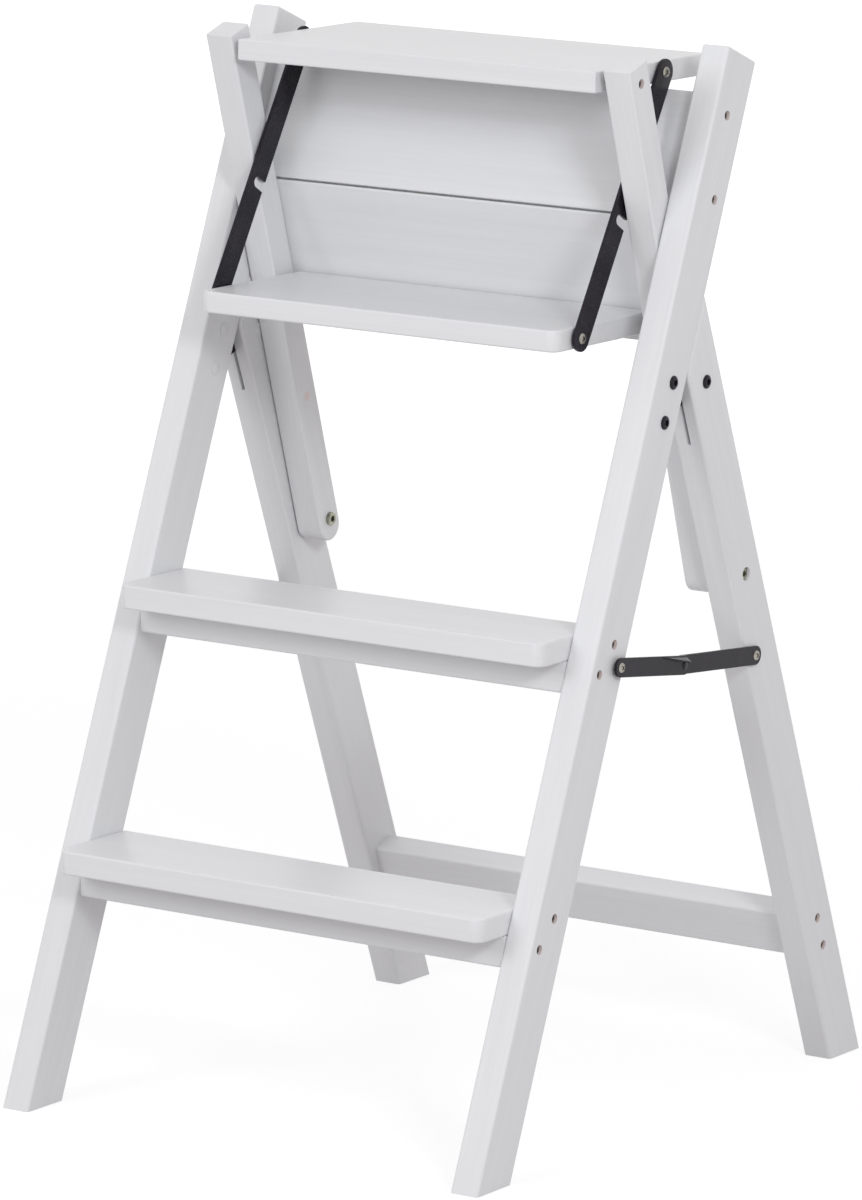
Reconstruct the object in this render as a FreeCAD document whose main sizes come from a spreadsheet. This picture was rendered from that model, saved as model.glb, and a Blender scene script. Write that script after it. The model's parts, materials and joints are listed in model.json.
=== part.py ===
import FreeCAD, Part
import os
from math import atan2, cos, degrees, hypot, radians, sin, sqrt, tan

import Sketcher

# Folding step stool chair of painted wood: a front ladder frame with two fixed treads, a rear frame
# hinged behind it, and a seat frame between them that carries the third step and the top step.
# X runs across the stool, Y towards its rear and Z up. The origin is on the floor, at the middle of
# the footprint. Lengths are millimetres and angles are degrees.

DRIVING = {
    # Legs
    "overall_width": 470.0,
    "leg_thickness": 26.0,
    "leg_width": 47.0,
    "leg_edge_radius": 2.5,
    "front_lean": 21.3,
    "front_leg_length": 958.0,
    "rear_lean": 22.83,
    # Hinge between the front and the rear frame
    "hinge_station": 694.2,
    "hinge_setback": 30.7,
    "rear_top_gap": 0.3,
    "rear_apex_radius": 20.0,
    # Fixed treads, with a batten under each
    "lower_tread_height": 216.2,
    "middle_tread_height": 428.0,
    "tread_depth": 97.0,
    "tread_thickness": 20.0,
    "tread_corner_radius": 20.0,
    "board_edge_radius": 2.0,
    "batten_size": 26.0,
    "batten_setback": 36.0,
    "batten_edge_radius": 2.0,
    "tread_screw_setback": 27.0,
    "tread_screw_drop": 8.0,
    "batten_screw_drop": 9.5,
    # Rear rail
    "rail_station": 96.0,
    "rail_height": 42.0,
    "rail_thickness": 24.0,
    "rail_inset": 12.0,
    "rail_screw_edge": 7.0,
    # Back panel between the tops of the front legs
    "back_panel_height": 107.0,
    "back_panel_thickness": 18.0,
    "back_panel_clearance": 2.012,
    "back_panel_gap": 5.5,
    "panel_upper_screw_in": 4.0,
    "panel_upper_screw_drop": 17.0,
    "panel_lower_screw_in": 12.8,
    "panel_lower_screw_rise": 21.0,
    # Seat frame
    "strut_thickness": 26.0,
    "strut_width": 28.0,
    "strut_gap": 1.0,
    "strut_reach": 441.9,
    "strut_head": 15.0,
    "strut_foot": 20.0,
    "strut_lean": 18.5,
    "strut_pivot_drop": 185.0,
    "strut_mark_station": 117.0,
    "seat_panel_overhang": 24.9,
    "seat_panel_thickness": 18.0,
    "seat_panel_seam": 1.5,
    # Top step and third step, with the links that keep them level
    "step_thickness": 18.0,
    "step_edge_radius": 1.5,
    "top_step_depth": 176.0,
    "top_step_front": 17.2,
    "third_step_drop": 217.0,
    "third_step_front": 137.9,
    "third_step_rear": 10.5,
    "third_step_corner_radius": 13.0,
    "link_space": 7.0,
    "link_thickness": 3.0,
    "link_width": 22.0,
    "link_upper_reach": 84.0,
    "link_lower_reach": 105.6,
    "link_notch_width": 9.0,
    # Hinge plates in saw kerfs of the legs
    "plate_thickness": 3.0,
    "kerf_width": 3.4,
    "plate_radius": 10.0,
    "plate_bolt_upper": 680.5,
    "plate_bolt_lower": 646.8,
    "plate_bolt_depth": 27.0,
    "plate_clearance": 1.0,
    "rear_kerf_bottom": 613.0,
    "rear_kerf_depth": 36.0,
    # Folding stays on the outer faces of the legs
    "stay_front_station": 444.0,
    "stay_front_depth": 34.0,
    "stay_rear_station": 405.0,
    "stay_rear_depth": 10.0,
    "stay_front_length": 100.0,
    "stay_sag": 2.5,
    "stay_width": 16.0,
    "stay_thickness": 2.5,
    "stay_layer_gap": 0.3,
    "stay_tab_length": 14.0,
    "stay_tab_reach": 5.0,
    # Fasteners
    "running_clearance": 0.05,
    "fixed_clearance": 0.1,
    "screw_radius": 2.2,
    "screw_head_radius": 4.0,
    "screw_head_height": 3.0,
    "screw_recess": 5.0,
    "screw_bite": 28.0,
    "bolt_radius": 3.0,
    "bolt_head_radius": 5.8,
    "bolt_head_height": 2.2,
    "pivot_radius": 3.0,
    "pivot_bite": 32.0,
    "nut_height": 3.0,
    "nut_flange": 0.6,
    "seat_nut_gap": 0.2,
    "head_gap": 0.1,
    "link_screw_radius": 2.5,
    "link_screw_head_radius": 4.6,
    "link_screw_head_height": 1.7,
    "link_screw_bite": 24.0,
    "link_play": 1.6,
    "stay_screw_radius": 2.4,
    "stay_screw_head_radius": 4.2,
    "stay_screw_head_height": 1.8,
    "stay_screw_bite": 20.0,
    "seat_screw_inset": 46.0,
    "seat_screw_bite": 20.0,
    "hole_end_room": 1.0,
    "cut_overrun": 1.0,
}

# The screws through a front leg, from the floor up
FRONT_SCREWS = ("lower_batten_screw", "lower_tread_screw", "middle_batten_screw", "middle_tread_screw",
                "panel_screw_lower", "panel_screw_upper")
# The radius of a round end, as a share of half the width: a whole half leaves no edge to end on
ROUND_SHARE = 0.98
# Lengths nearer than this count as equal
CLOSE = 0.01


class Tilted:
    """A frame turned about X: along runs up the piece, back runs square to it, towards the rear."""

    def __init__(self, y, z, lean):
        self.y, self.z, self.lean = y, z, lean

    def world(self, back, along):
        """Y and Z of a place given in this frame."""
        turn = radians(self.lean)
        return (self.y + back * cos(turn) + along * sin(turn),
                self.z - back * sin(turn) + along * cos(turn))

    def local(self, y, z):
        """A place given by its Y and Z, as its back and along in this frame."""
        turn = radians(self.lean)
        dy, dz = y - self.y, z - self.z
        return (dy * cos(turn) - dz * sin(turn), dy * sin(turn) + dz * cos(turn))


size = dict(DRIVING)


def keep(name, number):
    """Add a worked-out size to the table of sizes."""
    size[name] = round(number, 6)


def keep_place(name, place):
    """Add both coordinates of a place in the YZ plane, or in a tilted frame."""
    keep(name + "_a", place[0])
    keep(name + "_b", place[1])


def offset_corners(centres, radius):
    """Corners of the polygon that lies one radius outside a loop of centres, given clockwise."""
    corners = []
    for number, centre in enumerate(centres):
        before = centres[number - 1]
        after = centres[(number + 1) % len(centres)]
        ahead = atan2(after[1] - centre[1], after[0] - centre[0])
        behind = atan2(centre[1] - before[1], centre[0] - before[0])
        half_turn = (ahead - behind) / 2
        middle = behind + half_turn + radians(90)
        reach = radius / cos(half_turn)
        corners.append((centre[0] + reach * cos(middle), centre[1] + reach * sin(middle)))
    return corners


# Across the stool
keep("outer", size["overall_width"] / 2)
keep("inner", size["outer"] - size["leg_thickness"])
keep("inner_width", 2 * size["inner"])
keep("strut_outer", size["inner"] - size["strut_gap"])
keep("strut_inner", size["strut_outer"] - size["strut_thickness"])
keep("seat_panel_width", 2 * size["strut_outer"])
keep("step_half_width", size["strut_inner"] - size["link_space"])
keep("link_inner", size["step_half_width"] + (size["link_space"] - size["link_thickness"]) / 2)
keep("link_outer", size["link_inner"] + size["link_thickness"])
keep("plate_outer", size["outer"] - (size["leg_thickness"] - size["plate_thickness"]) / 2)
keep("plate_inner", size["outer"] - (size["leg_thickness"] + size["plate_thickness"]) / 2)
keep("kerf_inner", size["outer"] - (size["leg_thickness"] + size["kerf_width"]) / 2)
keep("stay_rear_inner", size["outer"] + size["stay_layer_gap"])
keep("stay_rear_outer", size["stay_rear_inner"] + size["stay_thickness"])
keep("stay_front_inner", size["stay_rear_outer"] + size["stay_layer_gap"])
keep("stay_front_outer", size["stay_front_inner"] + size["stay_thickness"])
keep("stay_tab_outer", size["stay_front_outer"] + size["stay_tab_reach"])

# Front legs: the foot is cut level and the top is cut square
front_turn = radians(size["front_lean"])
rear_turn = radians(size["rear_lean"])
keep("front_foot_rise", size["leg_width"] * tan(front_turn))

# The hinge, and the rear legs that hang from it
hinge_depth = size["leg_width"] + size["hinge_setback"]
hinge_from_toe = Tilted(0, 0, size["front_lean"]).world(hinge_depth, size["hinge_station"])
rear_heel = hinge_from_toe[0] + hinge_from_toe[1] * tan(rear_turn) + size["leg_width"] / 2 / cos(rear_turn)
keep("front_toe_y", -rear_heel / 2)
keep("rear_toe_y", rear_heel / 2 - size["leg_width"] / cos(rear_turn))
front = Tilted(size["front_toe_y"], 0, size["front_lean"])
rear = Tilted(size["rear_toe_y"], 0, -size["rear_lean"])
hinge = front.world(hinge_depth, size["hinge_station"])
keep_place("hinge_front", (hinge_depth, size["hinge_station"]))
keep_place("hinge_rear", rear.local(*hinge))
keep("rear_foot_drop", -size["leg_width"] * tan(rear_turn))

# The top of a rear leg is cut to lie along the rear face of the front leg
legs_angle = front_turn + rear_turn
cut_distance = size["hinge_setback"] - size["rear_top_gap"]
half_leg = size["leg_width"] / 2
keep("rear_apex", size["hinge_rear_b"] + (cut_distance - half_leg * cos(legs_angle)) / sin(legs_angle))
keep("rear_tip", size["hinge_rear_b"] + (cut_distance + half_leg * cos(legs_angle)) / sin(legs_angle))

# Fixed treads: their rear edges meet the rear faces of the legs, and battens lie under them
for tread in ("lower", "middle"):
    top = size[tread + "_tread_height"]
    rear_edge = size["front_toe_y"] + top * tan(front_turn) + size["leg_width"] / cos(front_turn)
    keep(tread + "_tread_rear", rear_edge)
    keep(tread + "_tread_front", rear_edge - size["tread_depth"])
    keep(tread + "_tread_underside", top - size["tread_thickness"])
    keep(tread + "_batten_rear", rear_edge - size["batten_setback"])
    keep(tread + "_batten_front", size[tread + "_batten_rear"] - size["batten_size"])
    keep(tread + "_batten_bottom", size[tread + "_tread_underside"] - size["batten_size"])
    keep(tread + "_tread_screw_y", rear_edge - size["tread_screw_setback"])
    keep(tread + "_batten_screw_y", size[tread + "_batten_rear"] - size["batten_size"] / 2)
    keep_place(tread + "_tread_screw",
               front.local(size[tread + "_tread_screw_y"], top - size["tread_screw_drop"]))
    keep_place(tread + "_batten_screw",
               front.local(size[tread + "_batten_screw_y"],
                           size[tread + "_tread_underside"] - size["batten_screw_drop"]))
keep("tread_screw_height", size["tread_thickness"] - size["tread_screw_drop"])
keep("batten_screw_height", size["batten_size"] - size["batten_screw_drop"])

# Rear rail
keep("rail_back", size["rail_inset"] + size["rail_thickness"])
keep("rail_top", size["rail_station"] + size["rail_height"])
rail_middle = size["rail_inset"] + size["rail_thickness"] / 2
keep_place("rail_screw_upper", (rail_middle, size["rail_top"] - size["rail_screw_edge"]))
keep_place("rail_screw_lower", (rail_middle, size["rail_station"] + size["rail_screw_edge"]))

# Seat frame: its struts turn on the rear legs and lean forward to the top step
seat_pivot_station = size["hinge_rear_b"] - size["strut_pivot_drop"]
keep_place("seat_pivot_rear", (half_leg, seat_pivot_station))
seat_pivot = rear.world(half_leg, seat_pivot_station)
keep_place("seat_pivot", seat_pivot)
seat = Tilted(seat_pivot[0], seat_pivot[1], -size["strut_lean"])
keep("strut_half", size["strut_width"] / 2)
keep("strut_top", size["strut_reach"] + size["strut_head"])
keep("strut_end", -size["strut_foot"])
keep("strut_foot_radius", ROUND_SHARE * size["strut_half"])
keep("third_step_station", size["strut_reach"] - size["third_step_drop"])
keep("seat_panel_bottom", size["third_step_station"] - size["seat_panel_overhang"])

# Top step and third step, level at rest, each at a pivot on the line of the struts
top_pivot = seat.world(0, size["strut_reach"])
keep_place("top_pivot", top_pivot)
keep("top_step_forward", -size["top_step_front"])
keep("top_step_back", size["top_step_depth"] - size["top_step_front"])
third_pivot = seat.world(0, size["third_step_station"])
keep_place("third_pivot", third_pivot)
keep("third_step_forward", -size["third_step_front"])
keep("link_lower_place", -size["link_lower_reach"])

# Links from the top step down to the front of the third step
link_top = (top_pivot[0] + size["link_upper_reach"], top_pivot[1])
link_foot = (third_pivot[0] - size["link_lower_reach"], third_pivot[1])
link_rise = (link_top[0] - link_foot[0], link_top[1] - link_foot[1])
keep_place("link_foot", link_foot)
keep("link_length", hypot(*link_rise))
keep("link_lean", degrees(atan2(link_rise[0], link_rise[1])))
keep("link_half", size["link_width"] / 2)
keep("link_end_radius", ROUND_SHARE * size["link_half"])
keep("link_low_end", -size["link_half"])
keep("link_high_end", size["link_length"] + size["link_half"])
# Folded flat, the link crosses the pin of the third step, so it has a notch there
notch_from_top = size["third_step_drop"] - size["link_upper_reach"]
keep("link_notch_station", size["link_length"] - notch_from_top)
keep("link_notch_radius", size["link_notch_width"] / 2)
keep("link_notch_low", size["link_notch_station"] - size["link_notch_radius"])
keep("link_notch_high", size["link_notch_station"] + size["link_notch_radius"])

# Back panel: its top edge stands just under the top step, its front face just behind the struts
panel_top_height = top_pivot[1] - size["step_thickness"] / 2 - size["back_panel_gap"]
strut_start = front.local(*seat.world(size["strut_half"], 0))
strut_end = front.local(*seat.world(size["strut_half"], size["strut_reach"]))
depth_gain = (strut_end[0] - strut_start[0]) / (strut_end[1] - strut_start[1])
panel_bottom_unset = panel_top_height / cos(front_turn) - size["back_panel_height"]
unset_depth = strut_start[0] + depth_gain * (panel_bottom_unset - strut_start[1])
keep("back_panel_inset",
     (unset_depth + size["back_panel_clearance"]) / (1 - depth_gain * tan(front_turn)))
keep("back_panel_rear", size["back_panel_inset"] + size["back_panel_thickness"])
keep("back_panel_top",
     (panel_top_height + size["back_panel_inset"] * sin(front_turn)) / cos(front_turn))
keep("back_panel_bottom", size["back_panel_top"] - size["back_panel_height"])
keep_place("panel_screw_upper", (size["back_panel_inset"] + size["panel_upper_screw_in"],
                                 size["back_panel_top"] - size["panel_upper_screw_drop"]))
keep_place("panel_screw_lower", (size["back_panel_inset"] + size["panel_lower_screw_in"],
                                 size["back_panel_bottom"] + size["panel_lower_screw_rise"]))

# Seat panel: on the rear faces of the struts, its top edge bevelled along the back panel's bottom edge
seam_station = size["back_panel_bottom"] - size["seat_panel_seam"]


def along_strut_to_seam(back):
    """How far up the strut a line at this depth behind its middle meets the seam."""
    start = front.local(*seat.world(back, 0))[1]
    gain = front.local(*seat.world(back, 1))[1] - start
    return (seam_station - start) / gain


keep("seat_panel_rear", size["strut_half"] + size["seat_panel_thickness"])
keep("seat_panel_top_front", along_strut_to_seam(size["strut_half"]))
keep("seat_panel_top_rear", along_strut_to_seam(size["seat_panel_rear"]))
keep("seat_screw_low", size["seat_panel_bottom"] + size["seat_screw_inset"])
keep("seat_screw_high", size["seat_panel_top_rear"] - size["seat_screw_inset"])
keep("seat_screw_x", (size["strut_outer"] + size["strut_inner"]) / 2)
keep("seat_screw_tip", size["strut_half"] - size["seat_screw_bite"])
keep("seat_screw_hole_depth", size["seat_screw_bite"] + size["hole_end_room"])

# Hinge plates: a rounded triangle over two bolts in the front leg and the hinge behind it
plate_centres = [(size["plate_bolt_depth"], size["plate_bolt_lower"]),
                 (size["plate_bolt_depth"], size["plate_bolt_upper"]),
                 (size["hinge_front_a"], size["hinge_front_b"])]
for number, corner in enumerate(offset_corners(plate_centres, size["plate_radius"])):
    keep_place("plate_corner_%d" % number, corner)
keep("front_kerf_depth", size["plate_bolt_depth"] - size["plate_radius"] - size["plate_clearance"])
keep("front_kerf_low", size["plate_bolt_lower"] - size["plate_radius"] - 2 * size["plate_clearance"])
keep("front_kerf_high", size["hinge_front_b"] + size["plate_radius"] / 2)
keep("kerf_over", size["leg_width"] + size["cut_overrun"])
keep("kerf_under", -size["cut_overrun"])
keep("rear_kerf_top", size["rear_tip"] + size["cut_overrun"])

# Stays: two plates a side that meet at a knee just under the line between their pivots
keep_place("stay_front_hole", (size["stay_front_depth"], size["stay_front_station"]))
keep_place("stay_rear_hole", (size["stay_rear_depth"], size["stay_rear_station"]))
stay_front_pivot = front.world(size["stay_front_depth"], size["stay_front_station"])
stay_rear_pivot = rear.world(size["stay_rear_depth"], size["stay_rear_station"])
stay_span = (stay_rear_pivot[0] - stay_front_pivot[0], stay_rear_pivot[1] - stay_front_pivot[1])
stay_slope = atan2(stay_span[1], stay_span[0])
knee_run = sqrt(size["stay_front_length"] ** 2 - size["stay_sag"] ** 2)
knee = (stay_front_pivot[0] + knee_run * cos(stay_slope) + size["stay_sag"] * sin(stay_slope),
        stay_front_pivot[1] + knee_run * sin(stay_slope) - size["stay_sag"] * cos(stay_slope))
keep_place("stay_front_pivot", stay_front_pivot)
keep_place("stay_rear_pivot", stay_rear_pivot)
keep("stay_half", size["stay_width"] / 2)
keep("stay_end_radius", ROUND_SHARE * size["stay_half"])
keep("stay_low_end", -size["stay_half"])
keep("stay_front_high_end", size["stay_front_length"] + size["stay_half"])
rear_run = (knee[0] - stay_rear_pivot[0], knee[1] - stay_rear_pivot[1])
keep("stay_rear_length", hypot(*rear_run))
keep("stay_rear_high_end", size["stay_rear_length"] + size["stay_half"])
front_run = (knee[0] - stay_front_pivot[0], knee[1] - stay_front_pivot[1])
keep("stay_front_lean", degrees(atan2(front_run[0], front_run[1])))
keep("stay_rear_lean", degrees(atan2(rear_run[0], rear_run[1])))
keep("stay_tab_low", size["stay_front_length"] - size["stay_tab_length"])
keep("stay_tab_side", -size["stay_half"] - size["stay_thickness"] / 2)
keep("stay_tab_root", -size["stay_half"] + size["stay_thickness"] / 2)
keep("stay_tab_width", size["stay_thickness"] + size["stay_tab_reach"])

# Hole radii
keep("screw_hole", size["screw_radius"] + size["fixed_clearance"])
keep("screw_head_hole", size["screw_head_radius"] + size["fixed_clearance"])
keep("bolt_hole", size["bolt_radius"] + size["fixed_clearance"])
keep("pivot_hole", size["pivot_radius"] + size["running_clearance"])
keep("pivot_fixed_hole", size["pivot_radius"] + size["fixed_clearance"])
keep("pivot_head_hole", size["bolt_head_radius"] + size["fixed_clearance"])
keep("link_hole", size["link_screw_radius"] + size["running_clearance"])
keep("link_loose_hole", size["link_screw_radius"] + size["link_play"])
keep("link_fixed_hole", size["link_screw_radius"] + size["fixed_clearance"])
keep("stay_hole", size["stay_screw_radius"] + size["running_clearance"])
keep("stay_fixed_hole", size["stay_screw_radius"] + size["fixed_clearance"])

doc = FreeCAD.newDocument("StepStoolChair")
sheet = doc.addObject("Spreadsheet::Sheet", "Sizes")
for row, (name, number) in enumerate(size.items(), start=1):
    sheet.set("A%d" % row, name)
    sheet.set("B%d" % row, "%.6f" % number)
    sheet.setAlias("B%d" % row, name)
doc.recompute()

nodes = []


def number_of(name):
    """The value of a cell, with the sign that may stand before its name."""
    if name == "0":
        return 0.0
    return -size[name[1:]] if name.startswith("-") else size[name]


def formula_of(name):
    """The expression for a cell, with the sign that may stand before its name."""
    return "-Sizes." + name[1:] if name.startswith("-") else "Sizes." + name


def new_body(label, y="0", z="0", lean="0"):
    """A body whose frame stands at a place in the YZ plane, tilted by a lean about X."""
    body = doc.addObject("PartDesign::Body", label)
    body.Label = label
    place = [name if name == "0" else formula_of(name) for name in (y, z, lean)]
    body.setExpression("Placement", "placement(vector(0; %s; %s); rotation(vector(1; 0; 0); -(%s)))"
                       % tuple(place))
    nodes.append(body)
    return body


def new_sketch(body, plane, offset):
    """A sketch on one of the body's own planes, moved along the plane's normal."""
    origin_plane = next(item for item in body.Origin.OriginFeatures if item.Role == plane)
    sketch = body.newObject("Sketcher::SketchObject", "sketch")
    sketch.AttachmentSupport = [(origin_plane, "")]
    sketch.MapMode = "FlatFace"
    if offset != "0":
        sketch.AttachmentOffset = FreeCAD.Placement(FreeCAD.Vector(0, 0, number_of(offset)),
                                                    FreeCAD.Rotation())
        sketch.setExpression("AttachmentOffset.Base.z", formula_of(offset))
    return sketch


def pin_point(sketch, geometry, point, place):
    """Hold one point of a sketch at two named coordinates."""
    for kind, axis, name in (("DistanceX", -2, place[0]), ("DistanceY", -1, place[1])):
        if name == "0":
            sketch.addConstraint(Sketcher.Constraint("PointOnObject", geometry, point, axis))
        else:
            number = sketch.addConstraint(
                Sketcher.Constraint(kind, -1, 1, geometry, point, number_of(name)))
            sketch.setExpression("Constraints[%d]" % number, formula_of(name))


def polygon(body, plane, offset, corners):
    """A closed sketch of straight sides through named corners."""
    sketch = new_sketch(body, plane, offset)
    points = [FreeCAD.Vector(number_of(a), number_of(b), 0) for a, b in corners]
    count = len(points)
    for side in range(count):
        sketch.addGeometry(Part.LineSegment(points[side], points[(side + 1) % count]), False)
    for side in range(count):
        sketch.addConstraint(Sketcher.Constraint("Coincident", side, 2, (side + 1) % count, 1))
    for side, corner in enumerate(corners):
        pin_point(sketch, side, 1, corner)
    return sketch


def box_corners(low_a, high_a, low_b, high_b):
    """The four named corners of an upright rectangle."""
    return [(low_a, low_b), (high_a, low_b), (high_a, high_b), (low_a, high_b)]


def pad(body, sketch, length, both_ways=False):
    """Extrude a sketch along its normal."""
    feature = body.newObject("PartDesign::Pad", "pad")
    feature.Profile = sketch
    feature.SideType = "Symmetric" if both_ways else "One side"
    feature.Length = number_of(length)
    feature.setExpression("Length", formula_of(length))
    doc.recompute()
    return feature


def cut(body, sketch, depth, along_normal=False):
    """Pocket a sketch, to a named depth or right through, and make sure that it took wood away."""
    before = body.Shape.Volume
    feature = body.newObject("PartDesign::Pocket", "pocket")
    feature.Profile = sketch
    feature.Reversed = along_normal
    if depth is None:
        feature.Type = "ThroughAll"
    else:
        feature.Length = number_of(depth)
        feature.setExpression("Length", formula_of(depth))
    doc.recompute()
    if not body.Shape.Volume < before - CLOSE:
        raise RuntimeError("a pocket in %s cuts nothing" % body.Label)
    return feature


def drill(body, plane, offset, places, radius, depth=None, along_normal=False):
    """Round holes at named places, square to a plane."""
    sketch = new_sketch(body, plane, offset)
    for number, place in enumerate(places):
        centre = FreeCAD.Vector(number_of(place[0]), number_of(place[1]), 0)
        sketch.addGeometry(Part.Circle(centre, FreeCAD.Vector(0, 0, 1), number_of(radius)), False)
        pin_point(sketch, number, 3, place)
        fixed = sketch.addConstraint(Sketcher.Constraint("Radius", number, number_of(radius)))
        sketch.setExpression("Constraints[%d]" % fixed, formula_of(radius))
    return cut(body, sketch, depth, along_normal)


def drill_end(body, side, face, places, radius, depth=None):
    """Round holes into a face that looks left or right, from that face inwards."""
    offset = face if side > 0 else "-" + face
    return drill(body, "YZ_Plane", offset, places, radius, depth, along_normal=side < 0)


def round_edges(body, radius, chosen):
    """Fillet the edges that a test picks."""
    base = body.Tip
    names = ["Edge%d" % number for number, edge in enumerate(base.Shape.Edges, start=1) if chosen(edge)]
    feature = body.newObject("PartDesign::Fillet", "fillet")
    feature.Base = (base, names)
    feature.Radius = number_of(radius)
    feature.setExpression("Radius", formula_of(radius))
    doc.recompute()
    return feature


def middle_of(edge):
    """The place halfway along an edge."""
    return edge.valueAt((edge.FirstParameter + edge.LastParameter) / 2)


def runs_along(edge, axis):
    """Whether a straight edge lies along one axis of its frame: 0 for X, 1 for Y, 2 for Z."""
    ends = edge.Vertexes
    if len(ends) != 2:
        return False
    step = ends[1].Point - ends[0].Point
    return step.Length > CLOSE and step.Length - abs(step[axis]) < CLOSE


def longer_than(edge, name):
    """Whether an edge is longer than a named size."""
    return edge.Length > number_of(name)


def leg(label, side, frame, corners):
    """A leg's blank: its side view, padded across its thickness."""
    body = new_body(label, *frame)
    start = "inner" if side > 0 else "-outer"
    pad(body, polygon(body, "YZ_Plane", start, corners), "leg_thickness")
    return body


def front_leg(label, side):
    """A front leg with its screw holes, hinge bolts' holes and the kerf for the hinge plate."""
    corners = [("0", "0"), ("leg_width", "front_foot_rise"), ("leg_width", "front_leg_length"),
               ("0", "front_leg_length")]
    body = leg(label, side, ("front_toe_y", "0", "front_lean"), corners)
    top = number_of("front_leg_length")
    round_edges(body, "leg_edge_radius",
                lambda edge: longer_than(edge, "hinge_station") or abs(middle_of(edge).z - top) < CLOSE)
    screws = [(name + "_a", name + "_b") for name in FRONT_SCREWS]
    bolts = [("plate_bolt_depth", "plate_bolt_upper"), ("plate_bolt_depth", "plate_bolt_lower")]
    drill_end(body, side, "outer", screws, "screw_hole")
    drill_end(body, side, "outer", screws, "screw_head_hole", "screw_recess")
    drill_end(body, side, "outer", bolts, "bolt_hole")
    drill_end(body, side, "outer", [("stay_front_hole_a", "stay_front_hole_b")], "stay_fixed_hole",
              "stay_screw_bite")
    kerf_start = "kerf_inner" if side > 0 else "-kerf_inner"
    kerf = polygon(body, "YZ_Plane", kerf_start,
                   box_corners("front_kerf_depth", "kerf_over", "front_kerf_low", "front_kerf_high"))
    cut(body, kerf, "kerf_width", along_normal=side > 0)


def rear_leg(label, side):
    """A rear leg: its top is cut along the front leg and split by the kerf for the hinge plate."""
    corners = [("0", "0"), ("leg_width", "rear_foot_drop"), ("leg_width", "rear_tip"), ("0", "rear_apex")]
    body = leg(label, side, ("rear_toe_y", "0", "-rear_lean"), corners)
    apex = number_of("rear_apex")
    round_edges(body, "rear_apex_radius",
                lambda edge: runs_along(edge, 0) and abs(middle_of(edge).z - apex) < CLOSE)
    round_edges(body, "leg_edge_radius", lambda edge: longer_than(edge, "stay_rear_station"))
    screws = [("rail_screw_upper_a", "rail_screw_upper_b"), ("rail_screw_lower_a", "rail_screw_lower_b")]
    drill_end(body, side, "outer", screws, "screw_hole")
    drill_end(body, side, "outer", screws, "screw_head_hole", "screw_recess")
    drill_end(body, side, "outer", [("hinge_rear_a", "hinge_rear_b")], "pivot_fixed_hole")
    drill_end(body, side, "outer", [("seat_pivot_rear_a", "seat_pivot_rear_b")], "pivot_fixed_hole")
    drill_end(body, side, "outer", [("seat_pivot_rear_a", "seat_pivot_rear_b")], "pivot_head_hole",
              "screw_recess")
    drill_end(body, side, "outer", [("stay_rear_hole_a", "stay_rear_hole_b")], "stay_fixed_hole",
              "stay_screw_bite")
    kerf_start = "kerf_inner" if side > 0 else "-kerf_inner"
    kerf = polygon(body, "YZ_Plane", kerf_start,
                   box_corners("kerf_under", "rear_kerf_depth", "rear_kerf_bottom", "rear_kerf_top"))
    cut(body, kerf, "kerf_width", along_normal=side > 0)


def tread(name):
    """A fixed tread between the front legs, its front corners rounded and its edges eased."""
    body = new_body(name + "_tread", z=name + "_tread_underside")
    corners = box_corners("-inner", "inner", name + "_tread_front", name + "_tread_rear")
    pad(body, polygon(body, "XY_Plane", "0", corners), "tread_thickness")
    front_edge = number_of(name + "_tread_front")
    round_edges(body, "tread_corner_radius",
                lambda edge: runs_along(edge, 2) and abs(middle_of(edge).y - front_edge) < CLOSE)
    ease_board(body, "board_edge_radius", "tread_thickness", name + "_tread_rear")
    for side in (1, -1):
        drill_end(body, side, "inner", [(name + "_tread_screw_y", "tread_screw_height")], "screw_hole",
                  "screw_bite")


def ease_board(body, radius, thickness, rear_edge):
    """Round over the top and bottom edges at the front and ends of a level board."""
    height = number_of(thickness)
    rear_y = number_of(rear_edge)

    def chosen(edge):
        point = middle_of(edge)
        flat = abs(point.z) < CLOSE or abs(point.z - height) < CLOSE
        return flat and point.y < rear_y - CLOSE

    round_edges(body, radius, chosen)


def batten(name):
    """The batten that runs between the front legs under a fixed tread."""
    body = new_body(name + "_batten", z=name + "_batten_bottom")
    corners = box_corners(name + "_batten_front", name + "_batten_rear", "0", "batten_size")
    pad(body, polygon(body, "YZ_Plane", "0", corners), "inner_width", both_ways=True)
    round_edges(body, "batten_edge_radius",
                lambda edge: runs_along(edge, 0) and abs(middle_of(edge).z) < CLOSE)
    for side in (1, -1):
        drill_end(body, side, "inner", [(name + "_batten_screw_y", "batten_screw_height")], "screw_hole",
                  "screw_bite")


def board_across(label, frame, corners, width, edge_radius):
    """A board or rail across the stool, seen from its side as a polygon, with its long edges eased."""
    body = new_body(label, *frame)
    pad(body, polygon(body, "YZ_Plane", "0", corners), width, both_ways=True)
    round_edges(body, edge_radius, lambda edge: runs_along(edge, 0))
    return body


def rear_rail():
    """The rail between the feet of the rear legs."""
    corners = box_corners("rail_inset", "rail_back", "rail_station", "rail_top")
    body = board_across("rear_rail", ("rear_toe_y", "0", "-rear_lean"), corners, "inner_width",
                        "batten_edge_radius")
    screws = [("rail_screw_upper_a", "rail_screw_upper_b"), ("rail_screw_lower_a", "rail_screw_lower_b")]
    for side in (1, -1):
        drill_end(body, side, "inner", screws, "screw_hole", "screw_bite")


def back_panel():
    """The panel between the tops of the front legs."""
    corners = box_corners("back_panel_inset", "back_panel_rear", "back_panel_bottom", "back_panel_top")
    body = board_across("back_panel", ("front_toe_y", "0", "front_lean"), corners, "inner_width",
                        "step_edge_radius")
    screws = [("panel_screw_upper_a", "panel_screw_upper_b"), ("panel_screw_lower_a", "panel_screw_lower_b")]
    for side in (1, -1):
        drill_end(body, side, "inner", screws, "screw_hole", "screw_bite")


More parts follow.
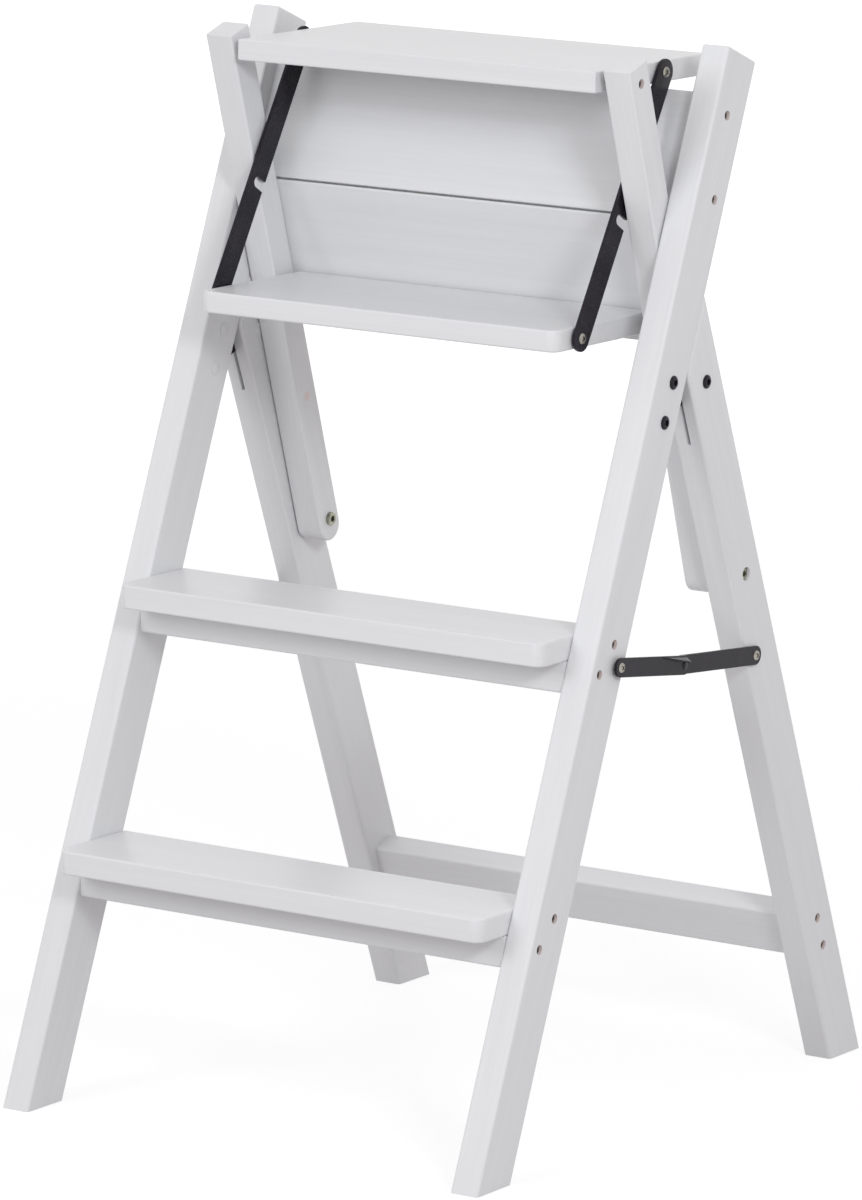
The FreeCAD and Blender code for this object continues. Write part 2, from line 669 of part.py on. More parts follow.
def seat_panel():
    """The panel on the rear faces of the struts, held by screws from behind."""
    corners = [("strut_half", "seat_panel_bottom"), ("seat_panel_rear", "seat_panel_bottom"),
               ("seat_panel_rear", "seat_panel_top_rear"), ("strut_half", "seat_panel_top_front")]
    body = board_across("seat_panel", ("seat_pivot_a", "seat_pivot_b", "-strut_lean"), corners,
                        "seat_panel_width", "step_edge_radius")
    screws = [(x, along) for x in ("seat_screw_x", "-seat_screw_x")
              for along in ("seat_screw_low", "seat_screw_high")]
    drill(body, "XZ_Plane", "-seat_panel_rear", screws, "screw_hole", along_normal=True)


def strut(label, side):
    """A strut of the seat frame, round at the foot, with its pivot holes."""
    body = new_body(label, "seat_pivot_a", "seat_pivot_b", "-strut_lean")
    start = "strut_inner" if side > 0 else "-strut_outer"
    corners = box_corners("-strut_half", "strut_half", "strut_end", "strut_top")
    pad(body, polygon(body, "YZ_Plane", start, corners), "strut_thickness")
    foot = number_of("strut_end")
    round_edges(body, "strut_foot_radius",
                lambda edge: runs_along(edge, 0) and abs(middle_of(edge).z - foot) < CLOSE)
    round_edges(body, "batten_edge_radius",
                lambda edge: runs_along(edge, 2) and longer_than(edge, "third_step_front"))
    drill_end(body, side, "strut_outer", [("0", "0"), ("0", "strut_reach"), ("0", "third_step_station")],
              "pivot_hole")
    drill_end(body, side, "strut_outer", [("0", "strut_reach"), ("0", "third_step_station")],
              "screw_head_hole", "screw_recess")
    mark_face = "strut_inner" if side > 0 else "-strut_inner"
    drill(body, "YZ_Plane", mark_face, [("0", "strut_mark_station")], "screw_radius", "screw_recess",
          along_normal=side > 0)
    across = "seat_screw_x" if side > 0 else "-seat_screw_x"
    drill(body, "XZ_Plane", "-strut_half", [(across, "seat_screw_low"), (across, "seat_screw_high")],
          "screw_hole", "seat_screw_hole_depth", along_normal=True)


def step(label, place, front_edge, rear_edge):
    """A step that turns between the struts: a board, level at rest, with its pivot at its mid height."""
    body = new_body(label, *place)
    corners = box_corners("-step_half_width", "step_half_width", front_edge, rear_edge)
    pad(body, polygon(body, "XY_Plane", "0", corners), "step_thickness", both_ways=True)
    return body


def top_step():
    """The top step, square at its corners."""
    body = step("top_step", ("top_pivot_a", "top_pivot_b"), "top_step_forward", "top_step_back")
    round_edges(body, "step_edge_radius", lambda edge: not runs_along(edge, 2))
    for side in (1, -1):
        drill_end(body, side, "step_half_width", [("0", "0")], "pivot_fixed_hole", "pivot_bite")
        drill_end(body, side, "step_half_width", [("link_upper_reach", "0")], "link_fixed_hole",
                  "link_screw_bite")


def third_step():
    """The third step, round at its front corners."""
    body = step("third_step", ("third_pivot_a", "third_pivot_b"), "third_step_forward", "third_step_rear")
    front_y = number_of("third_step_forward")
    round_edges(body, "third_step_corner_radius",
                lambda edge: runs_along(edge, 2) and abs(middle_of(edge).y - front_y) < CLOSE)
    round_edges(body, "step_edge_radius", lambda edge: not runs_along(edge, 2))
    for side in (1, -1):
        drill_end(body, side, "step_half_width", [("0", "0")], "pivot_fixed_hole", "pivot_bite")
        drill_end(body, side, "step_half_width", [("link_lower_place", "0")], "link_fixed_hole",
                  "link_screw_bite")


def flat_bar(label, side, frame, half_width, low, high, start, end, thickness, end_radius):
    """A flat steel bar with round ends, lying in a plane that looks sideways."""
    body = new_body(label, *frame)
    offset = start if side > 0 else "-" + end
    corners = box_corners("-" + half_width, half_width, low, high)
    pad(body, polygon(body, "YZ_Plane", offset, corners), thickness)
    round_edges(body, end_radius, lambda edge: runs_along(edge, 0))
    return body


def link_bar(label, side):
    """A link with a notch in its rear edge, which clears the third step's pin when folded flat."""
    body = flat_bar(label, side, ("link_foot_a", "link_foot_b", "link_lean"), "link_half", "link_low_end",
                    "link_high_end", "link_inner", "link_outer", "link_thickness", "link_end_radius")
    drill_end(body, side, "link_outer", [("0", "link_length")], "link_hole")
    drill_end(body, side, "link_outer", [("0", "0")], "link_loose_hole")
    face = "link_inner" if side > 0 else "-link_outer"
    notch = polygon(body, "YZ_Plane", face,
                    box_corners("0", "link_width", "link_notch_low", "link_notch_high"))
    cut(body, notch, "link_thickness", along_normal=True)
    drill(body, "YZ_Plane", face, [("0", "link_notch_station")], "link_notch_radius", "link_thickness",
          along_normal=True)


def hinge_plate(label, side):
    """The steel plate in the kerfs of a front and a rear leg."""
    body = new_body(label, "front_toe_y", "0", "front_lean")
    start = "plate_inner" if side > 0 else "-plate_outer"
    corners = [("plate_corner_%d_a" % number, "plate_corner_%d_b" % number) for number in range(3)]
    pad(body, polygon(body, "YZ_Plane", start, corners), "plate_thickness")
    round_edges(body, "plate_radius", lambda edge: runs_along(edge, 0))
    bolts = [("plate_bolt_depth", "plate_bolt_upper"), ("plate_bolt_depth", "plate_bolt_lower")]
    drill_end(body, side, "outer", bolts, "bolt_hole")
    drill_end(body, side, "outer", [("hinge_front_a", "hinge_front_b")], "pivot_hole")


def stay_plate(label, side, end):
    """One plate of a folding stay, from its leg to the knee."""
    length = "stay_%s_length" % end
    pivot = "stay_%s_pivot" % end
    body = flat_bar(label, side, (pivot + "_a", pivot + "_b", "stay_%s_lean" % end), "stay_half",
                    "stay_low_end", "stay_%s_high_end" % end, "stay_%s_inner" % end, "stay_%s_outer" % end,
                    "stay_thickness", "stay_end_radius")
    if end == "front":
        start = "stay_front_inner" if side > 0 else "-stay_tab_outer"
        tab = polygon(body, "YZ_Plane", start,
                      box_corners("stay_tab_side", "stay_tab_root", "stay_tab_low", "stay_front_length"))
        pad(body, tab, "stay_tab_width")
    drill_end(body, side, "stay_tab_outer", [("0", "0")], "stay_hole")
    drill_end(body, side, "stay_tab_outer", [("0", length)], "stay_fixed_hole")


class Turned:
    """Fasteners that point across the stool: each is a row of cylinders on one axis."""

    def __init__(self, label):
        self.label, self.solids = label, []

    def add(self, side, place, stretches):
        """One fastener at a place in the YZ plane; a stretch is its start in X, its end and its radius."""
        cylinders = []
        for start, end, radius in stretches:
            low, high = (start, end) if side > 0 else (-end, -start)
            cylinder = doc.addObject("Part::Cylinder", "stretch")
            cylinder.Height = high - low
            cylinder.Radius = number_of(radius)
            cylinder.setExpression("Radius", formula_of(radius))
            cylinder.Placement = FreeCAD.Placement(FreeCAD.Vector(low, place[0], place[1]),
                                                   FreeCAD.Rotation(FreeCAD.Vector(0, 1, 0), 90))
            cylinders.append(cylinder)
        fastener = cylinders[0]
        if len(cylinders) > 1:
            fastener = doc.addObject("Part::MultiFuse", "fastener")
            fastener.Shapes = cylinders
            fastener.Refine = True
        self.solids.append(fastener)

    def finish(self):
        """Put the fasteners in one node."""
        group = doc.addObject("Part::Compound", self.label)
        group.Label = self.label
        group.Links = self.solids
        nodes.append(group)


def countersunk(label, places, face, recess, shank, bite_from, bite):
    """Screws with their heads sunk below a face, each biting a length past another face."""
    group = Turned(label)
    bottom = size[face] - size[recess]
    for side in (1, -1):
        for place in places:
            group.add(side, place,
                      [(bottom, bottom + size["screw_head_height"], "screw_head_radius"),
                       (size[bite_from] - size[bite] + size["hole_end_room"], bottom, shank)])
    group.finish()


def fasteners():
    """Every screw, bolt and pin."""
    front_places = [front.world(size[name + "_a"], size[name + "_b"]) for name in FRONT_SCREWS]
    countersunk("front_frame_screws", front_places, "outer", "screw_recess", "screw_radius", "inner",
                "screw_bite")
    rear_places = [rear.world(size[name + "_a"], size[name + "_b"]) for name in
                   ("rail_screw_upper", "rail_screw_lower")]
    countersunk("rear_rail_screws", rear_places, "outer", "screw_recess", "screw_radius", "inner",
                "screw_bite")
    countersunk("top_step_pivots", [top_pivot], "strut_outer", "screw_recess", "pivot_radius",
                "step_half_width", "pivot_bite")
    countersunk("third_step_pivots", [third_pivot], "strut_outer", "screw_recess", "pivot_radius",
                "step_half_width", "pivot_bite")

    plate_bolts = Turned("hinge_plate_bolts")
    hinge_bolts = Turned("hinge_bolts")
    for side in (1, -1):
        head = (size["outer"], size["outer"] + size["bolt_head_height"], "bolt_head_radius")
        flange = size["inner"] - size["nut_flange"]
        nut = (flange, size["inner"], "bolt_head_radius")
        for station in ("plate_bolt_upper", "plate_bolt_lower"):
            plate_bolts.add(side, front.world(size["plate_bolt_depth"], size[station]),
                            [head, (flange, size["outer"], "bolt_radius"), nut])
        hinge_bolts.add(side, hinge, [head, (flange, size["outer"], "pivot_radius"), nut])
    plate_bolts.finish()
    hinge_bolts.finish()

    seat_bolts = Turned("strut_pivot_bolts")
    for side in (1, -1):
        bottom = size["outer"] - size["screw_recess"]
        nut_end = size["strut_inner"] - size["seat_nut_gap"] - size["nut_height"]
        seat_bolts.add(side, seat_pivot,
                       [(bottom, bottom + size["screw_head_height"], "bolt_head_radius"),
                        (nut_end, bottom, "pivot_radius"),
                        (nut_end, size["strut_inner"] - size["seat_nut_gap"], "bolt_head_radius")])
    seat_bolts.finish()

    for label, place in (("link_upper_screws", link_top), ("link_lower_screws", link_foot)):
        group = Turned(label)
        for side in (1, -1):
            under_head = size["link_outer"] + size["head_gap"]
            tip = size["step_half_width"] - size["link_screw_bite"] + size["hole_end_room"]
            collar_end = size["link_inner"] - size["head_gap"]
            group.add(side, place,
                      [(under_head, under_head + size["link_screw_head_height"], "link_screw_head_radius"),
                       (tip, under_head, "link_screw_radius"),
                       (size["step_half_width"], collar_end, "link_screw_head_radius")])
        group.finish()

    stays = (("stay_front_screws", stay_front_pivot, "stay_front_inner", "stay_front_outer"),
             ("stay_rear_screws", stay_rear_pivot, "stay_rear_inner", "stay_rear_outer"))
    for label, place, low, high in stays:
        group = Turned(label)
        for side in (1, -1):
            under_head = size[high] + size["head_gap"]
            tip = size["outer"] - size["stay_screw_bite"] + size["hole_end_room"]
            group.add(side, place,
                      [(under_head, under_head + size["stay_screw_head_height"], "stay_screw_head_radius"),
                       (tip, under_head, "stay_screw_radius"),
                       (size["outer"], size[low] - size["head_gap"], "stay_screw_head_radius")])
        group.finish()

    rivets = Turned("stay_knee_rivets")
    for side in (1, -1):
        rivets.add(side, knee,
                   [(size["stay_front_outer"], size["stay_front_outer"] + size["stay_screw_head_height"] / 2,
                     "stay_screw_head_radius"),
                    (size["stay_front_inner"], size["stay_front_outer"], "stay_screw_radius")])
    rivets.finish()


def seat_panel_screws():
    """The screws that hold the seat panel to the struts."""
    solids = []
    turn = FreeCAD.Rotation(FreeCAD.Vector(1, 0, 0), size["strut_lean"] + 90)
    for x in (size["seat_screw_x"], -size["seat_screw_x"]):
        for along in (size["seat_screw_low"], size["seat_screw_high"]):
            head = seat.world(size["seat_panel_rear"], along)
            screw = doc.addObject("Part::Cylinder", "seat_panel_screw")
            screw.Radius = size["screw_radius"]
            screw.setExpression("Radius", "Sizes.screw_radius")
            screw.Height = size["seat_panel_rear"] - size["seat_screw_tip"]
            screw.Placement = FreeCAD.Placement(FreeCAD.Vector(x, head[0], head[1]), turn)
            solids.append(screw)
    group = doc.addObject("Part::Compound", "seat_panel_screws")
    group.Label = "seat_panel_screws"
    group.Links = solids
    nodes.append(group)


def main():
    """Build every piece, check the document and write one file for each piece."""
    for word, side in (("right", 1), ("left", -1)):
        front_leg("front_leg_" + word, side)
        rear_leg("rear_leg_" + word, side)
        strut("strut_" + word, side)
        link_bar("link_" + word, side)
        hinge_plate("hinge_plate_" + word, side)
        stay_plate("stay_front_plate_" + word, side, "front")
        stay_plate("stay_rear_plate_" + word, side, "rear")
    for name in ("lower", "middle"):
        tread(name)
        batten(name)
    rear_rail()
    back_panel()
    seat_panel()
    top_step()
    third_step()
    fasteners()
    seat_panel_screws()
    doc.recompute()

    for item in doc.Objects:
        if "Invalid" in item.State or "Error" in item.State:
            raise RuntimeError("%s failed: %s" % (item.Name, item.State))
    os.makedirs("parts", exist_ok=True)
    for node in nodes:
        shape = node.Shape
        if shape.isNull() or not shape.isValid():
            raise RuntimeError("%s has no valid shape" % node.Label)
        shape.exportStep("parts/%s.step" % node.Label)
        print("%-24s %2d solids, %9.0f mm3" % (node.Label, len(shape.Solids), shape.Volume))


main()
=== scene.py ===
import json
from math import atan2, cos, pi, radians, sin

import bmesh
import bpy
from bpy.props import FloatProperty, FloatVectorProperty, IntProperty, PointerProperty
from mathutils import Matrix, Vector


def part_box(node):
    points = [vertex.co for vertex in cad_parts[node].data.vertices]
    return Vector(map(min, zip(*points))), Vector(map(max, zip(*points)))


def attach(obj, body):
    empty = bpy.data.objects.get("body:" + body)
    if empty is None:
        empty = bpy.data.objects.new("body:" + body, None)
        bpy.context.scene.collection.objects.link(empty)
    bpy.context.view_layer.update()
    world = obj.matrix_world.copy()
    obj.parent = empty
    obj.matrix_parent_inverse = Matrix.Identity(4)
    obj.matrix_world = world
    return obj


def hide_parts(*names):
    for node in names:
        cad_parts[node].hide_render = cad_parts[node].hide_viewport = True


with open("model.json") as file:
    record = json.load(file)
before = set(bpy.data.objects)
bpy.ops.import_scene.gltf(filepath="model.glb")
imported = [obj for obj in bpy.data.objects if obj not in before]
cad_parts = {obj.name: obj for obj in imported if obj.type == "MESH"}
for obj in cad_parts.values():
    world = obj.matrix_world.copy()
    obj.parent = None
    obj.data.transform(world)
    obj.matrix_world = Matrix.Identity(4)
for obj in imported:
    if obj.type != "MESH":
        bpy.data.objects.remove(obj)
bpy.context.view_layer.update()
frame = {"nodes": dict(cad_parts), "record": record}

bl_info = {
    "name": "Step Stool Chair",
    "version": (1, 0, 0),
    "blender": (4, 5, 0),
    "location": "View3D > Sidebar > Step Stool",
    "description": "Finishes a folding step stool's boards and makes its screws, links and stays",
    "category": "Object",
}

# Lengths are metres. X runs across the stool, Y towards its rear and Z up.

BODIES = frame["record"]["behaviour"]["bodies"]
BODY_OF = {node: body for body, nodes in BODIES.items() for node in nodes}

# What properties of one kind have in common
COLOUR = {"subtype": "COLOR", "size": 3, "min": 0.0, "max": 1.0}
LENGTH = {"subtype": "DISTANCE", "unit": "LENGTH"}
ANGLE = {"subtype": "ANGLE", "unit": "ROTATION"}
POWER = {"subtype": "POWER", "unit": "POWER"}

QUARTER_TURN = radians(90)

# Points closer than the first are one, and corners within the second of a face lie on it
MERGE = 1e-6
NEAR = 0.001

# Edges between faces that turn by more are shaded sharp, are eased, or are corners, and faces
# that turn by less than the last are joined
SHARP_ANGLE = radians(34)
EDGE_ANGLE = radians(40)
CORNER_ANGLE = radians(60)
FLAT_ANGLE = radians(0.5)

# The boards that are painted as they come from the CAD, by the way that their grain runs
BOARDS_UP_FRONT = ("front_leg_right", "front_leg_left")
BOARDS_UP_REAR = ("rear_leg_right", "rear_leg_left")
BOARDS_UP_SEAT = ("strut_right", "strut_left")
BOARDS_LEVEL = ("top_step",)
BOARDS_ACROSS = ("lower_batten", "middle_batten", "rear_rail", "back_panel", "seat_panel")

# Faces larger than this are shaded flat
BOARD_FLAT_AREA = 0.0005
BAR_FLAT_AREA = 0.00005

TREAD_CORNER_SEGMENTS = 16
TREAD_EDGE_SEGMENTS = 4
CLOUD_COLOUR = (0.772, 0.779, 0.79)
PAINT_SPECK_COLOUR = (0.24, 0.22, 0.21)
FIBRE_SHADE = (0.88, 0.82, 0.80)
COAT_IOR = 1.28

# Outlines of heads: how far down and how far out each point lies. Out is a share of the head's
# radius. Down is a share of the radius in the first, of the height in the next two, and metres
# in the others.
SUNK_HEAD = ((0, 0), (0, 0.90), (0.10, 0.975))
DOMED_HEAD = ((0, 0), (0.04, 0.35), (0.22, 0.68), (0.52, 0.90), (1, 1))
RIVET_HEAD = ((0, 0), (0.12, 0.50), (0.45, 0.84), (1, 1))
BLACK_BOLT_HEAD = ((0, 0), (0.00002, 0.55), (0.0004, 0.80), (0.0011, 0.96))
SEAT_BOLT_HEAD = ((0, 0), (0, 0.84), (0.0005, 0.985), (0.003, 0.985))
SEAT_SCREW_HEAD = ((0.0002, 0), (0.0002, 0.88), (0.0005, 0.98))

# Radii as shares of the head's radius
SCREW_SHANK = 0.54
PIN_SHANK = 0.74
BOLT_SHANK = 0.5
RIVET_SHANK = 0.57
COLLAR_RADIUS = 0.98
SUNK_HEAD_HEIGHT = 0.6
LINING_INSIDE = 0.995
LINING_OUTSIDE = 1.015
NUT_EDGE = (0.97, 0.985, 0.86)
COVER_EDGE = 0.97
NUT_RECESS_DEPTH = 0.45
SEAT_SCREW_TIP = 0.9
BRIGHT_RECESS_DEPTH = 0.8

SCREW_SINK = 0.002
RIVET_HEIGHT = 0.0009
NUT_HEIGHT = 0.003
NUT_BEVEL = 0.0006
COVER_BEVEL = 0.0001
LINK_SPACER = 0.0019
FACE_GAP = 0.0001
RECESS_TURN = 0.7
RECESS_TAPER = 0.55

STRUT_PLUG_STATION = 0.117
BATTEN_PLUG_ACROSS = -0.137
BATTEN_PLUG_DROP = 0.004
PLUG_TOP = 0.90
PLUG_BEVEL = 0.4

STAY_THICKNESS = 0.0025
STAY_WIDTH = 0.016
STAY_END_ROUND = 0.98
STAY_END_SEGMENTS = 14
TAB_THICKNESS = 0.0016
TAB_ROOT = 0.0003
TAB_PAST_KNEE = 0.2
TAB_TIP = 0.25

# The stage
FLOOR_LIT_COLOUR = (0.565, 0.545, 0.545, 1.0)
FLOOR_SEEN_COLOUR = (0.30, 0.30, 0.30, 1.0)
FLOOR_GLOW_DISTANCES = (0.9, 6.0)
FLOOR_GLOW_STRENGTHS = (0.775, 1.0)
SKY_COLOUR = (1.0, 0.972, 0.985, 1.0)
WHITE = (1.0, 1.0, 1.0, 1.0)
LAMP_COLOUR = (0.945, 0.972, 1.0)
LAMP_TARGET = (0.0, 0.0, 0.60)
LEFT_LAMP_PLACE, LEFT_LAMP_SIZE = (-0.85, -3.15, 1.75), 1.2
RIGHT_LAMP_PLACE, RIGHT_LAMP_SIZE = (2.30, -1.82, 1.87), 0.6
CAMERA_PLACE = (3.31091, -5.12108, 1.57097)
CAMERA_SHIFT = (-0.0056, -0.0177)
CAMERA_SENSOR = 36.0
CAMERA_CLIP = (0.1, 200.0)


class PaintSizes(bpy.types.PropertyGroup):
    """The satin paint on the boards, the wood under it and the treads' corners."""

    colour: FloatVectorProperty(
        name="Paint colour", description="Colour of the satin paint",
        default=(0.797, 0.804, 0.812), **COLOUR)
    shade_colour: FloatVectorProperty(
        name="Thin paint colour", description="Colour where the paint lies thin over the grain",
        default=(0.752, 0.759, 0.767), **COLOUR)
    bare_wood: FloatVectorProperty(
        name="Bare wood", description="Colour of the wood in screw holes and of the struts' plugs",
        default=(0.86, 0.77, 0.74), **COLOUR)
    roughness: FloatProperty(
        name="Roughness", description="Roughness of the paint", subtype="FACTOR", default=0.31,
        min=0.0, max=1.0)
    grain_length: FloatProperty(
        name="Grain length", description="How long a streak of grain is", default=0.16, min=0.01,
        max=1.0, **LENGTH)
    grain_width: FloatProperty(
        name="Grain width", description="How wide a streak of grain is", default=0.0032,
        min=0.0005, max=0.05, **LENGTH)
    tread_corner: FloatProperty(
        name="Tread corners", description="Radius of the treads' front corners", default=0.0105,
        min=0.001, max=0.05, **LENGTH)
    step_corner: FloatProperty(
        name="Third step corners", description="Radius of the third step's front corners",
        default=0.0095, min=0.001, max=0.05, **LENGTH)
    board_edge: FloatProperty(
        name="Board edges", description="Radius of the treads' eased edges", default=0.0017,
        min=0.0002, max=0.005, **LENGTH)
    grain_depth: FloatProperty(
        name="Grain depth", description="How deep the grain shows through the paint",
        default=0.00003, min=0.0, max=0.002, **LENGTH)


class SteelSizes(bpy.types.PropertyGroup):
    """The colours of the metal parts."""

    black: FloatVectorProperty(
        name="Black coating", description="Colour of the coated flat bars and bolts",
        default=(0.0135, 0.0115, 0.0165), **COLOUR)
    # Painted highlight: a lighter coat colour for the thumb tabs' upward faces, standing for the
    # light from above that falls on them
    tab_top_highlight: FloatVectorProperty(
        name="Tab top highlight", description="Colour of the coat where thumbs rub the tabs",
        default=(0.17, 0.165, 0.175), **COLOUR)
    bright: FloatVectorProperty(
        name="Bright plating", description="Colour of the bright screws",
        default=(0.42, 0.40, 0.35), **COLOUR)
    bronze: FloatVectorProperty(
        name="Bronze plating", description="Colour of the seat frame's pivot bolts",
        default=(0.42, 0.42, 0.34), **COLOUR)
    zinc: FloatVectorProperty(
        name="Sunk screws", description="Colour of the sunk screws", default=(0.075, 0.068, 0.066),
        **COLOUR)


class FastenerSizes(bpy.types.PropertyGroup):
    """The shapes of heads, recesses, plugs, tabs and the bars' edges."""

    segments: IntProperty(
        name="Segments", description="Facets round a head", default=36, min=12, max=64)
    recess_share: FloatProperty(
        name="Cross recess",
        description="Reach of a cross recess, as a share of the head's radius", subtype="FACTOR",
        default=0.78, min=0.1, max=0.9)
    recess_slot: FloatProperty(
        name="Slot width", description="Width of a cross recess's slots, as a share of its reach",
        subtype="FACTOR", default=0.38, min=0.05, max=0.6)
    recess_depth: FloatProperty(
        name="Recess depth", description="Depth of a recess, as a share of the head's radius",
        subtype="FACTOR", default=0.45, min=0.05, max=0.8)
    hex_share: FloatProperty(
        name="Hexagon socket",
        description="Radius of a hexagon socket, as a share of the head's radius",
        subtype="FACTOR", default=0.50, min=0.1, max=0.9)
    head_sink: FloatProperty(
        name="Head sink", description="How far a sunk head lies below its screw's end",
        default=0.0006, min=0.0, max=0.003, **LENGTH)
    lining_setback: FloatProperty(
        name="Lining setback",
        description="How far a screw hole's bare wood stays below the paint", default=0.0003,
        min=0.0, max=0.002, **LENGTH)
    plug_thickness: FloatProperty(
        name="Plug thickness",
        description="Thickness of the painted plugs over the bolts' inner ends", default=0.0025,
        min=0.0005, max=0.005, **LENGTH)
    tab_fall: FloatProperty(
        name="Tab fall", description="Drop of the thumb tab's outer corner below the stay's edge",
        default=0.004, min=0.0, max=0.02, **LENGTH)
    tab_run: FloatProperty(
        name="Tab run", description="Length over which a stay's edge widens to its thumb tab",
        default=0.038, min=0.001, max=0.05, **LENGTH)
    strut_plug: FloatProperty(
        name="Strut plug", description="Radius of the plugs in the seat frame's struts",
        default=0.0042, min=0.001, max=0.02, **LENGTH)
    batten_plug: FloatProperty(
        name="Batten plug", description="Radius of the plug in the lower batten", default=0.0065,
        min=0.001, max=0.02, **LENGTH)
    plug_proud: FloatProperty(
        name="Plug height", description="How far the plugs stand above the paint", default=0.00006,
        min=0.0, max=0.001, **LENGTH)
    bar_edge: FloatProperty(
        name="Bar edge", description="How much the edges of the flat bars are eased",
        default=0.0004, min=0.0, max=0.001, **LENGTH)


class StageSizes(bpy.types.PropertyGroup):
    """The floor, the lights and the camera."""

    floor_size: FloatProperty(
        name="Floor size", description="Width of the floor", default=80.0, min=2.0, max=200.0,
        **LENGTH)
    left_power: FloatProperty(
        name="Left light", description="Power of the lamp at the front left", default=25.0,
        min=0.0, max=5000.0, **POWER)
    right_power: FloatProperty(
        name="Right light", description="Power of the lamp at the front right", default=27.0,
        min=0.0, max=5000.0, **POWER)
    sky_strength: FloatProperty(
        name="Ambient light", description="Strength of the even light from all sides",
        default=0.665, min=0.0, max=5.0)
    lens: FloatProperty(
        name="Lens", description="Focal length in millimetres for a 36 mm long side",
        default=222.298, min=20.0, max=500.0)
    azimuth: FloatProperty(
        name="Azimuth", description="How far the camera stands round to the right",
        default=radians(32.97), **ANGLE)
    elevation: FloatProperty(
        name="Elevation", description="How far the camera looks down", default=radians(10.60),
        **ANGLE)
    roll: FloatProperty(
        name="Roll", description="How far the camera is tipped", default=radians(1.03), **ANGLE)


# Materials

def new_material(name):
    """A material with a principled shader, its node tree and the shader."""
    material = bpy.data.materials.new(name)
    material.use_nodes = True
    tree = material.node_tree
    tree.nodes.clear()
    output = tree.nodes.new("ShaderNodeOutputMaterial")
    shader = tree.nodes.new("ShaderNodeBsdfPrincipled")
    tree.links.new(shader.outputs["BSDF"], output.inputs["Surface"])
    return material, tree, shader


def object_coordinates(tree):
    """The Object coordinates of a surface."""
    return tree.nodes.new("ShaderNodeTexCoord").outputs["Object"]


def noise(tree, vector, scale, detail, roughness):
    """A noise texture on a vector."""
    node = tree.nodes.new("ShaderNodeTexNoise")
    node.inputs["Scale"].default_value = scale
    node.inputs["Detail"].default_value = detail
    node.inputs["Roughness"].default_value = roughness
    tree.links.new(vector, node.inputs["Vector"])
    return node.outputs["Fac"]


def ramp(tree, value, low, high):
    """A ramp over a value; each end is a position and a grey."""
    node = tree.nodes.new("ShaderNodeValToRGB")
    for element, (place, grey) in zip(node.color_ramp.elements, (low, high)):
        element.position = place
        element.color = (grey, grey, grey, 1.0)
    tree.links.new(value, node.inputs["Fac"])
    return node.outputs["Color"]


def mix_colour(tree, share, first, second):
    """Two colours mixed by a share; each colour is a socket or three numbers."""
    node = tree.nodes.new("ShaderNodeMix")
    node.data_type = "RGBA"
    tree.links.new(share, node.inputs[0])
    for socket, value in ((node.inputs[6], first), (node.inputs[7], second)):
        if isinstance(value, bpy.types.NodeSocket):
            tree.links.new(value, socket)
        else:
            socket.default_value = (*value, 1.0)
    return node.outputs[2]


def combine(tree, way, first, second):
    """A maths node on two values, each a socket or a number."""
    node = tree.nodes.new("ShaderNodeMath")
    node.operation = way
    for socket, value in zip(node.inputs, (first, second)):
        if isinstance(value, bpy.types.NodeSocket):
            tree.links.new(value, socket)
        else:
            socket.default_value = value
    return node.outputs["Value"]


def add_roughness(tree, shader, texture, spread, lowest):
    """Give a shader a roughness that rises from its lowest value with a texture."""
    rough = combine(tree, "ADD", combine(tree, "MULTIPLY", texture, spread), lowest)
    tree.links.new(rough, shader.inputs["Roughness"])


def add_bump(tree, shader, height, distance, strength):
    """Give a shader a bumpy surface."""
    node = tree.nodes.new("ShaderNodeBump")
    node.inputs["Distance"].default_value = distance
    node.inputs["Strength"].default_value = strength
    tree.links.new(height, node.inputs["Height"])
    tree.links.new(node.outputs["Normal"], shader.inputs["Normal"])


def shaded(colour, share):
    """A colour multiplied by a share, or by a share for each channel."""
    shares = share if isinstance(share, tuple) else (share,) * 3
    return tuple(channel * part for channel, part in zip(colour, shares))


def grain_coordinates(tree, coordinates, lean, stretch):
    """Coordinates turned to a leaning board and stretched along its grain."""
    turned = tree.nodes.new("ShaderNodeMapping")
    turned.inputs["Rotation"].default_value = (lean, 0.0, 0.0)
    tree.links.new(coordinates, turned.inputs["Vector"])
    squeezed = tree.nodes.new("ShaderNodeMapping")
    squeezed.inputs["Scale"].default_value = stretch
    tree.links.new(turned.outputs["Vector"], squeezed.inputs["Vector"])
    return squeezed.outputs["Vector"]


def painted_wood(name, lean, across):
    """Satin paint on wood, with the grain as faint long streaks and fine furrows under it."""
    paint = bpy.context.scene.stool_paint
    material, tree, shader = new_material(name)
    along, wide = 1.0 / paint.grain_length, 1.0 / paint.grain_width
    stretch = (along, wide, wide) if across else (wide, wide, along)
    plain = object_coordinates(tree)
    grained = grain_coordinates(tree, plain, lean, stretch)
    streaks = noise(tree, grained, scale=1.0, detail=4.0, roughness=0.6)
    broad = noise(tree, grained, scale=0.22, detail=2.0, roughness=0.5)
    cloud = noise(tree, plain, scale=9.0, detail=3.0, roughness=0.55)
    speckle = noise(tree, plain, scale=420.0, detail=2.0, roughness=0.5)
    grain = combine(tree, "ADD", combine(tree, "MULTIPLY", streaks, 0.5),
                    combine(tree, "MULTIPLY", broad, 0.5))
    streaked = mix_colour(tree, ramp(tree, grain, (0.34, 0.0), (0.66, 1.0)),
                          tuple(paint.shade_colour), tuple(paint.colour))
    clouded = mix_colour(tree, ramp(tree, cloud, (0.3, 0.0), (0.7, 0.30)), streaked, CLOUD_COLOUR)
    tree.links.new(clouded, shader.inputs["Base Color"])
    add_roughness(tree, shader, streaks, spread=0.10, lowest=paint.roughness - 0.05)
    shader.inputs["Specular IOR Level"].default_value = 0.45
    height = combine(tree, "ADD", streaks, combine(tree, "MULTIPLY", speckle, 0.16))
    add_bump(tree, shader, height, paint.grain_depth, strength=0.4)
    return material


